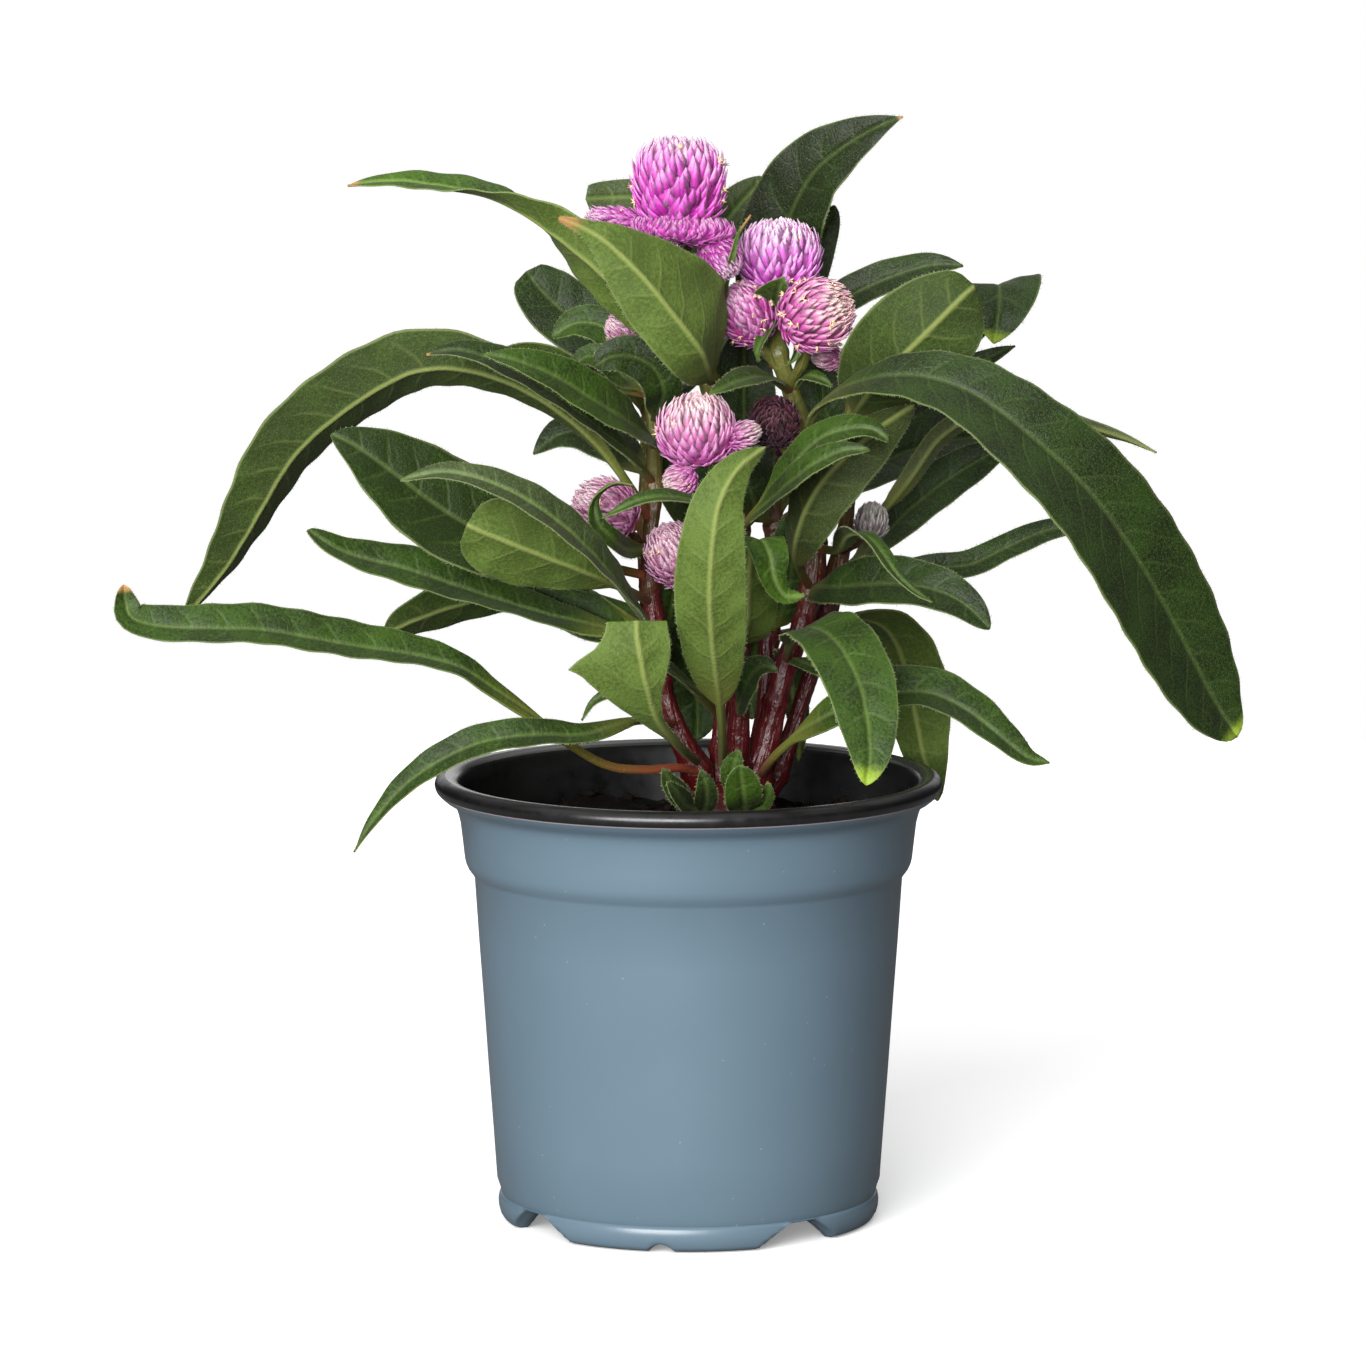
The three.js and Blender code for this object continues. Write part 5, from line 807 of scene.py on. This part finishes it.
def headSurface(centre, width, height, towards, power):
    # gives what reads a place on the head, the way along it to the crown and the way out of it;
    # level 0 is its foot and 1 its crown
    middle, axis = placeAll([centre])[0], unit(np.array(towards, float))
    side = square(np.array([0.3, -1, 0.2]), axis)
    third = np.cross(axis, side)

    def read(level, angle, inset=0):
        level = np.clip(level, 0.002, 0.998)

        def girth(at):
            return (width / 2 - inset) * (1 - np.abs(2 * at - 1) ** power) ** (1 / power)

        tall = height - 2 * inset
        out = np.cos(angle)[..., None] * side + np.sin(angle)[..., None] * third
        point = middle + axis * ((level - 0.5) * tall)[..., None] + out * girth(level)[..., None]
        rise = (girth(level + 0.001) - girth(level - 0.001))[..., None] / 0.002
        tall = np.asarray(tall)[..., None]
        return point, unit(out * rise + axis * tall), unit(out * tall - axis * rise)

    return read


def addHead(shape, plan, look, draw):
    form = headForm
    centre, width, height, towards, power, messy = (*plan, 0)[:6]
    surface = headSurface(centre, width, height, towards, power)
    scale = np.clip(min(width, height) / 20, 0.5, 1.05)
    turns = fullTurn(form["coreSides"])[None]
    levels = 0.5 - 0.5 * np.cos(np.linspace(0.12, math.pi - 0.12, form["coreRows"]))[:, None]
    core = surface(levels + 0 * turns, turns + 0 * levels, form["coreInset"] * scale)[0]
    levels = np.concatenate([sideBySide(levels, turns)[:, 0], [0, 1]])
    addTube(shape, core, place=sideBySide(0, levels, 0.5))
    # rows of bracts, evenly spaced over the profile
    fine = np.linspace(0.01, 0.995, 300)
    arc = lengthsAlong(surface(fine, fine * 0)[0])
    rows = max(4, int(arc[-1] / (form["bractPitch"] * scale)))
    most = max(8, int(round(math.pi * width / (form["bractWidth"] * scale) * 1.12)))
    levels, angles = [], []
    for row in range(rows + 1):
        level = np.interp(arc[-1] * (row + 0.35) / (rows + 0.5), arc, fine)
        girth = (1 - abs(2 * level - 1) ** power) ** (1 / power)
        count = most if girth > 0.55 else max(5, int(most * 0.62)) if girth > 0.3 else max(4, most // 4)
        angles.extend((np.arange(count) + (row % 2) / 2) / count * 2 * math.pi)
        levels.extend([level] * count)
    n = len(levels)
    angles = angles + draw.normal(0, form["jitter"] * (1 + 2 * messy), n) * 4 / most
    levels = np.clip(levels + draw.normal(0, 0.015 + 0.04 * messy, n), 0.01, 0.99)
    crownShare = np.clip((levels - form["crownStart"]) / (1 - form["crownStart"]), 0, 1)
    depth = (form["rootDepth"] + form["crownDepth"] * crownShare) * scale
    root, along, normal = surface(levels, angles, depth)
    lift = form["crownLift"] * crownShare + 20 * messy + draw.normal(0, 5 + 14 * messy, n)
    lift = np.radians(lift)[:, None]
    way = unit(along * np.cos(lift) + normal * np.sin(lift))
    way = unit(way + np.cross(way, normal) * draw.normal(0, 0.1 + 0.4 * messy, (n, 1)))
    long = form["bractLength"] * scale * draw.uniform(0.82, 1.12, n) * (1 - 0.42 * crownShare)
    broad = form["bractWidth"] * scale * draw.uniform(0.8, 1.12, n)
    # low on the head a bract lies along it, at the crown it stands up; untidy ones stand off anywhere
    free = np.clip(crownShare + messy * draw.uniform(0, 1, n), 0, 1)[:, None]
    roots = np.interp(levels, fine, arc)
    slew = draw.normal(0, 0.07, n)
    tipOut = draw.uniform(*form["tipOut"], n) * scale
    sections = []
    for share, wide, high in form["sections"]:
        above = np.interp(roots + long * share, arc, fine)
        inset = depth * (1 - share) - tipOut * share ** 2 - 0.35 * math.sin(math.pi * share) * scale
        lying, ahead, out = surface(above, angles + slew * share, inset)
        middle = lying * (1 - free) + (root + way * (long * share)[:, None]) * free
        ahead = unit(ahead * (1 - free) + way * free)
        out = square(out * (1 - free) + normal * free, ahead)
        across = np.cross(ahead, out) * (broad * wide / 2)[:, None]
        out = out * form["bractDepth"] * scale * high
        sections.append(np.stack([middle - across - out * 0.7, middle + out * 0.5,
                                  middle + across - out * 0.7, middle - out * 0.4], 1))
    rings = np.stack(sections, 1)  # bract, section, corner, xyz
    count = rings.shape[1] * 4
    k = np.arange(count).reshape(-1, 4)
    faces = np.vstack([skin(k), k[0][::-1], k[-1]])
    faces = faces[:, ::outward(rings[0].reshape(-1, 3), faces)]
    steps = np.repeat([section[0] for section in form["sections"]], 4)
    place = sideBySide(steps[None], levels[:, None], draw.uniform(0, 1, (n, 1)))
    atEdge = np.tile([1, 0, 1, 0], n * count // 4)
    start = addPoints(shape, rings, place=place, tone=sideBySide(atEdge, 0, 0))
    addFaces(shape, (start + count * np.arange(n)[:, None, None] + faces).reshape(-1, 4))
    # withered florets: small cream stars that stand between the bracts
    stars, points = int(look["florets"] * scale), form["floretPoints"]
    if stars:
        angles, levels = draw.uniform(0, 2 * math.pi, stars), draw.uniform(0.2, 0.95, stars)
        root, _, normal = surface(levels, angles, -0.5 * scale)
        ways = unit(normal[:, None] + draw.normal(0, 0.6, (stars, points, 3))).reshape(-1, 3)
        sizes = form["floretLength"] * scale * draw.uniform(0.6, 1, stars * points)
        roots = np.repeat(root - normal * 0.9, points, 0)
        addHairs(shape, roots, ways, sizes, form["floretWidth"] * scale, 1)


def makeHeadMaterial(name, look):
    # Dry papery bract, thin and silky: strong colour at its root, paler and slightly see-through at its
    # tip, with a fine mottle. Light passes about 1.6 mm through the thin bracts, red furthest.
    material, node, setShader = newMaterial(name, {
        "IOR": 1.45, "Roughness": 0.5, "Subsurface Weight": 0.6, "Subsurface Scale": 0.0016,
        "Subsurface Radius": (1.0, 0.45, 0.85),
        "Sheen Weight": 0.15, "Sheen Roughness": 0.4, "Sheen Tint": "#ffe9fa"})
    place, tone = [node("Attribute", {"attribute_name": key}, output="Vector") for key in ("place", "tone")]
    along, level, shade = node("SeparateXYZ", None, [place]).node.outputs
    edge = node("SeparateXYZ", None, [tone])  # 1 at both edges of a bract
    where = node("TexCoord", output="Object")
    mottle = node("TexNoise", None, {"Vector": where, "Scale": 700.0, "Detail": 2.0})  # 1.4 mm
    up = node("MapRange", smooth, [level, 0.05, 0.98, 0.0, 1.0])
    root, tip = [node("Mix", colours, {0: up, 6: foot, 7: crown}, 2)
                 for foot, crown in (look["roots"], look["tips"])]
    uneven = along
    for value, strength in ((mottle, 0.5), (edge, 0.12), (shade, 0.3)):
        uneven = node("Math", more, [value, strength, uneven])
    share = node("MapRange", smooth, [uneven, 0.8, 1.4, 0.0, 1.0])
    setShader({"Base Color": node("Mix", colours, {0: share, 6: root, 7: tip}, 2),
               "Normal": node("Bump", None, {"Strength": 0.35, "Distance": 0.0002, "Height": mottle})})
    return material


# a withered floret, cream with a waxy look
floretMaterial = newMaterial("creamFloret", {"Roughness": 0.5, "Base Color": "#efd3a4"})[0]
headMaterials = {tone: makeHeadMaterial("paperyBract" + tone.capitalize(), look)
                 for tone, look in headLooks.items()}
for number, (name, (tone, heads)) in enumerate(headPlans.items()):
    draw = np.random.default_rng(300 + number)
    shape = newShape()
    for head in heads:
        addHead(shape, head, headLooks[tone], draw)
    for plan in headBracts.get(name, []):
        addBlade(shape, plan, draw, 0.5, 2)
    green = [leafMaterials["middle"], hairMaterial] if name in headBracts else []
    makePiece(name.replace("bloom_", "bloomHead_"), shape, [headMaterials[tone], floretMaterial] + green,
              name)
print("flower heads made:", len(headPlans))


potForm = {
    "sides": 192,
    # radius and height: outside, from the floor's edge up to the bead
    "wall": "43.2 5.4, 44.1 5.7, 44.6 6.5, 44.8 7.6, 45.5 9.6, 46.3 21, 47.4 36, 48.5 52, 49.6 67, 50.6 82, "
            "51.2 82.9, 52.1 84.1, 52.6 85.2, 52.9 86.4, 53.3 90, 53.9 95, 54.4 97, 54.8 98.2, 55.4 99.1, "
            "56.4 99.9, 57.6 100.6, 58.6 101.4, 59.1 101.9",
    "seam": "59.3 102.1, 59.55 102.4",
    # the rolled rim, then down the inside
    "rim": "59.8 102.9, 60 103.8, 59.8 104.7, 59.2 105.4, 58.4 105.9, 57.5 106, 56.4 105.9, 55.5 105.6, "
           "54.7 104.9, 54.2 104, 53.8 101, 53.6 98.2, 52.7 95, 51.8 87, 51.4 85.4, 50.4 83.4, 49.4 82, "
           "48.4 67, 46.2 36, 44.3 9.6, 43.6 6.9",
    "lip": (5, 3),  # the rim's glossy inner edge, whose lighter grey is a painted reflection: its first row and number of rows
    # the ring under the floor, from its outside to its inside; what stands on the ground has height 0
    "footRing": "44.6 6.2, 45 5.4, 45.2 4.2, 45.1 2.8, 44.7 1.4, 44.1 0.5, 43.3 0.12, 42.6 0, 40.8 0, "
                "40.3 0.4, 39.9 1.5, 39.8 3, 40.6 6",
    "feet": 4, "footTurn": -8.5,
    "gap": (5.6, 3.1, 0.7333), "notch": (1.7, 3.0),  # height, half the width and slope, in mm
    "holeRadius": 4, "holeAt": 28,
}


def footHeights(angles):
    # how far the ring under the floor is cut away, as height over the ground
    low = 0 * angles
    for k in range(2 * potForm["feet"]):
        turn = math.radians(potForm["footTurn"] - 90 + k * 180 / potForm["feet"])
        away = (angles - turn + math.pi) % (2 * math.pi) - math.pi
        t = np.abs(42 * np.sin(away))
        if k % 2:  # between two feet
            high, half, slope = potForm["gap"]
            cut = high * (np.clip(high - (t - half) * slope, 0, high) / high) ** 0.85
        else:  # in the middle of a foot
            high, half = potForm["notch"]
            cut = high * np.clip(1 - (t / half) ** 2, 0, 1)
        low = np.where(np.abs(away) < 1, np.maximum(low, cut), low)
    return low


def makePot():
    shape = newShape()
    parts = [numbers(potForm[key], 2) for key in ("wall", "seam", "rim")]
    profile = np.vstack(parts)
    wall, seam, rim = [len(part) for part in parts]
    slots = np.repeat([0, 2, 1], [wall, seam - 1, rim])
    # the rim's inner edge takes the lighter grey of the painted reflection
    first, count = potForm["lip"]
    slots[wall + seam + first:wall + seam + first + count] = 3
    angles = fullTurn(potForm["sides"])
    mapping = sideBySide(lengthsAlong(profile)[:, None] / 100, angles[None])
    addTube(shape, np.array([circle(radius, angles, height) for radius, height in profile]), slots,
            np.vstack([mapping, np.zeros((2, 2))]))
    angles = fullTurn(720)
    low = footHeights(angles)
    rings = [circle(radius, angles, np.maximum(height, np.minimum(low + 0.25 + 0.1 * height, 6)) if height
                    else low) for radius, height in numbers(potForm["footRing"], 2)]
    addTube(shape, np.array(rings).transpose(1, 0, 2), looped=True)
    return shape


def makePotMaterial():
    # Injection-moulded polypropylene, coloured through: smooth satin with a broad soft highlight, a faint
    # orange-peel, and a little dust
    material, node, setShader = newMaterial("mouldedBluePolypropylene", {"IOR": 1.49})
    where = node("TexCoord", output="Object")
    cloud = node("TexNoise", None, {"Vector": where, "Scale": 22.0, "Detail": 3.0})  # 45 mm
    peel = node("TexNoise", None, {"Vector": where, "Scale": 650.0, "Detail": 2.0})  # 1.5 mm
    dust = node("TexVoronoi", None, {"Vector": where, "Scale": 190.0, "Randomness": 1.0})  # 5 mm apart
    speck = node("MapRange", smooth, [dust, 0.03, 0.055, 0.25, 0.0])
    colour = node("Mix", colours, {0: cloud, 6: "#516370", 7: "#5a6d79"}, 2)
    setShader({"Base Color": node("Mix", colours, {0: speck, 6: colour, 7: "#a9b7c0"}, 2),
               "Roughness": node("MapRange", None, [cloud, 0.3, 0.7, 0.3, 0.36]),
               "Normal": node("Bump", None, {"Strength": 0.12, "Distance": 0.0002, "Height": peel})})
    return material


def makeInsideMaterial():
    # The same polypropylene, black inside and on the rim: a harder gloss on the rolled edge and fine
    # scuffs and dried peat dust
    material, node, setShader = newMaterial("mouldedBlackPolypropylene", {
        "IOR": 1.49, "Specular IOR Level": 0.5})
    where = node("TexCoord", output="Object")
    scuff = node("TexNoise", None, {"Vector": where, "Scale": 300.0, "Detail": 4.0})  # 3 mm
    setShader({"Base Color": node("Mix", colours, {0: scuff, 6: "#070707", 7: "#191818"}, 2),
               "Roughness": node("MapRange", None, [scuff, 0.3, 0.8, 0.26, 0.42]),
               "Normal": node("Bump", None, {"Strength": 0.15, "Distance": 0.0002, "Height": scuff})})
    return material


def cutDrainHoles(pot):
    cutter = newShape()
    for centre in circle(potForm["holeAt"], fullTurn(4), 0):
        rings = [circle(potForm["holeRadius"], fullTurn(32), height) + centre for height in (3, 9)]
        addTube(cutter, np.array(rings))
    holes = newObject("holes", cutter)
    modifier = pot.modifiers.new("holes", "BOOLEAN")
    modifier.operation, modifier.object, modifier.solver = "DIFFERENCE", holes, "EXACT"
    graph = bpy.context.evaluated_depsgraph_get()
    cut = bpy.data.meshes.new_from_object(pot.evaluated_get(graph))
    pot.modifiers.clear()
    pot.data = cut
    bpy.data.objects.remove(holes)


# where the black layer ends under the bead, a thin pinkish-grey line
seamMaterial = newMaterial("polypropyleneSeam", {"Roughness": 0.5, "Base Color": "#8d8286"})[0]
# the inner edge of the rim, glossier, and painted lighter grey: a painted reflection of the pale surroundings
# that it mirrors
lipMaterial = newMaterial("rimLipPaintedReflection", {"Roughness": 0.22, "Base Color": "#3d3d3c", "IOR": 1.7})[0]
cutDrainHoles(makePiece("nurseryPot", makePot(), [makePotMaterial(), makeInsideMaterial(), seamMaterial,
                                                  lipMaterial], "pot"))
print("pot made")


soilForm = {
    "wall": "42.9 7.2, 44 9.6, 46.1 40, 48.9 81, 50.7 87.5, 51.4 91",  # radius and height, inside the pot
    "top": 92.2, "around": 120, "rings": 44,
    # number, fineness and height of the small waves, in random directions, that make the lumps
    "waves": ((14, 0.16, 0.39), (20, 0.45, 0.169), (26, 1.3, 0.078)),
    "crumbs": 420, "smallest": 0.7, "largest": 3.2,
}


def makeSoil():
    shape, form = newShape(), soilForm
    draw = np.random.default_rng(9)
    angles = fullTurn(form["around"])
    waves = draw.uniform(-1, 1, (60, 4))
    kinds = np.repeat(form["waves"], [kind[0] for kind in form["waves"]], 0)

    def lumps(x, y):
        total = x * 0
        for (a, b, c, _), (_, size, high) in zip(waves, kinds):
            across = x * math.cos(3.14 * a) + y * math.sin(3.14 * a)
            total = total + high * np.sin(size * across * (1 + 0.4 * b) + 9 * c)
        return total

    rings = [circle(radius, angles, height) for radius, height in numbers(form["wall"], 2)]
    for radius in np.linspace(51.2, 0.8, form["rings"]):
        x, y, _ = circle(radius, angles, 0).T
        rings.append(np.stack([x, y, form["top"] + lumps(x, y)], 1))
    addTube(shape, np.array(rings))
    # crumbs of bark and peat on the top
    n = form["crumbs"]
    radius, turn = 50 * np.sqrt(draw.uniform(0.02, 1, n)), draw.uniform(0, 2 * math.pi, n)
    x, y, _ = circle(radius, turn, 0).T
    z = form["top"] + lumps(x, y)
    corners = np.array([(0, 0, 1), (1, 0, 0), (0, 1, 0), (-1, 0, 0), (0, -1, 0), (0, 0, -1)], float)
    faces = np.array([(0, 1, 2), (0, 2, 3), (0, 3, 4), (0, 4, 1), (5, 2, 1), (5, 3, 2), (5, 4, 3), (5, 1, 4)])
    for k in range(n):
        size = form["smallest"] + (form["largest"] - form["smallest"]) * draw.uniform() ** 2.5
        crumb = corners * size * [1, draw.uniform(0.4, 0.9), draw.uniform(0.25, 0.55)]
        crumb = crumb * draw.uniform(0.7, 1.15, (6, 1))
        a, b = draw.uniform(0, 2 * math.pi), draw.normal(0, 0.4)
        flat = np.array([[math.cos(a), -math.sin(a), 0], [math.sin(a), math.cos(a), 0], [0, 0, 1]])
        tilt = np.array([[1, 0, 0], [0, math.cos(b), -math.sin(b)], [0, math.sin(b), math.cos(b)]])
        points = crumb @ (flat @ tilt).T + [x[k], y[k], z[k] + 0.15 * size]
        addFaces(shape, addPoints(shape, points, place=(1, draw.uniform(), 0)) + faces)
    return shape


def makeSoilMaterial():
    # Damp peat and fine bark: nearly black, crumbly and dull, with brown flecks
    material, node, setShader = newMaterial("dampPeatMix", {
        "IOR": 1.4, "Roughness": 0.9, "Specular IOR Level": 0.12})
    place = node("Attribute", {"attribute_name": "place"}, output="Vector")
    isCrumb, tint, _ = node("SeparateXYZ", None, [place]).node.outputs
    where = node("TexCoord", output="Object")
    lump = node("TexNoise", None, {"Vector": where, "Scale": 420.0, "Detail": 5.0})  # flecks of 2.4 mm
    share = node("MapRange", smooth, [lump, 0.45, 0.75, 0.0, 0.8])
    share = node("Math", more, [isCrumb, tint, share])
    setShader({"Base Color": node("Mix", colours, {0: share, 6: "#080605", 7: "#1d1510"}, 2),
               "Normal": node("Bump", None, {"Strength": 0.8, "Distance": 0.0006, "Height": lump})})
    return material


makePiece("pottingMix", makeSoil(), [makeSoilMaterial()], "soil")
print("potting mix made")


studio = {
    # brightness of the surroundings: the pale ground that the camera sees, dim walls, a soft light
    # overhead, and a low pale screen behind the plant, which the rim's edge mirrors
    "seen": 1.0, "walls": 0.03, "overhead": 0.92, "behind": 1.1, "floorRadius": 0.8,
    # the floor: pale to the eye, but it throws little light back, as if dark screens stood beside it
    "floor": "#fbfbfb", "thrownBack": "#747474", "glow": (0.25, 0.65),  # near the pot and at its edge
    # the key light: place and aim in m, width and height in m, power in W
    "key": (-0.6, -1.9, 0.75), "aim": (0.0, 0.0, 0.13), "keySize": (1.6, 1.1), "keyPower": 100,
}


def makeSurroundings():
    world = bpy.data.worlds.new("paleStudio")
    bpy.context.scene.world = world
    world.use_nodes = True
    tree = world.node_tree
    node = partial(addNode, tree)
    _, back, up = node("SeparateXYZ", None, [node("TexCoord", output="Generated")]).node.outputs
    light = node("MapRange", smooth, [up, 0.3, 0.9, studio["walls"], studio["overhead"]])
    screen = node("MapRange", smooth, [back, 0.9, 0.97, 0.0, studio["behind"]])
    light = node("Math", more, [screen, node("MapRange", smooth, [up, 0.02, 0.08, 0.0, 1.0]), light])
    strength = node("Mix", None, {0: node("LightPath", output="Is Camera Ray"), 2: light, 3: studio["seen"]})
    setInputs(tree, tree.nodes["Background"], {"Color": "#ffffff", "Strength": strength})


def makeFloor():
    mesh = bpy.data.meshes.new("studioFloor")
    edge = circle(studio["floorRadius"], fullTurn(96), -0.0002)
    mesh.from_pydata(edge.tolist(), [], [list(range(len(edge)))])
    material, node, setShader = newMaterial("paleFloor", {
        "Roughness": 0.9, "Emission Color": studio["floor"]})
    away = node("VectorMath", {"operation": "LENGTH"}, [node("TexCoord", output="Object")], "Value")
    seen = node("LightPath", output="Is Camera Ray")
    glow = node("MapRange", smooth, [away, 0.15, studio["floorRadius"] * 0.9, *studio["glow"]])
    setShader({"Emission Strength": node("Math", times, [glow, seen]),
               "Base Color": node("Mix", colours, {0: seen, 6: studio["thrownBack"], 7: studio["floor"]}, 2)})
    mesh.materials.append(material)
    floor = bpy.data.objects.new("studioFloor", mesh)
    bpy.context.scene.collection.objects.link(floor)


def makeKeyLight():
    lamp = bpy.data.lights.new("broadKey", "AREA")
    lamp.shape, lamp.energy = "RECTANGLE", studio["keyPower"]
    lamp.size, lamp.size_y = studio["keySize"]
    key = bpy.data.objects.new("broadKey", lamp)
    key.location = studio["key"]
    x, y, z = np.subtract(studio["aim"], studio["key"])
    key.rotation_euler = (math.atan2(math.hypot(x, y), -z), 0, math.atan2(-x, y))
    bpy.context.scene.collection.objects.link(key)


def makeCamera():
    data = bpy.data.cameras.new("camera")
    data.lens, data.sensor_width, data.sensor_fit = eye["lens"], 36.0, "HORIZONTAL"
    data.clip_start, data.clip_end = 0.1, 60
    camera = bpy.data.objects.new("camera", data)
    camera.location = (eye["across"] / 1000, -eye["distance"] / 1000, eye["height"] / 1000)
    camera.rotation_euler = (math.radians(90 - eye["downDegrees"]), 0, 0)
    bpy.context.scene.collection.objects.link(camera)
    bpy.context.scene.camera = camera


bpy.context.scene.view_settings.view_transform = "Standard"
for make in (makeSurroundings, makeFloor, makeKeyLight, makeCamera):
    make()
print("studio made")
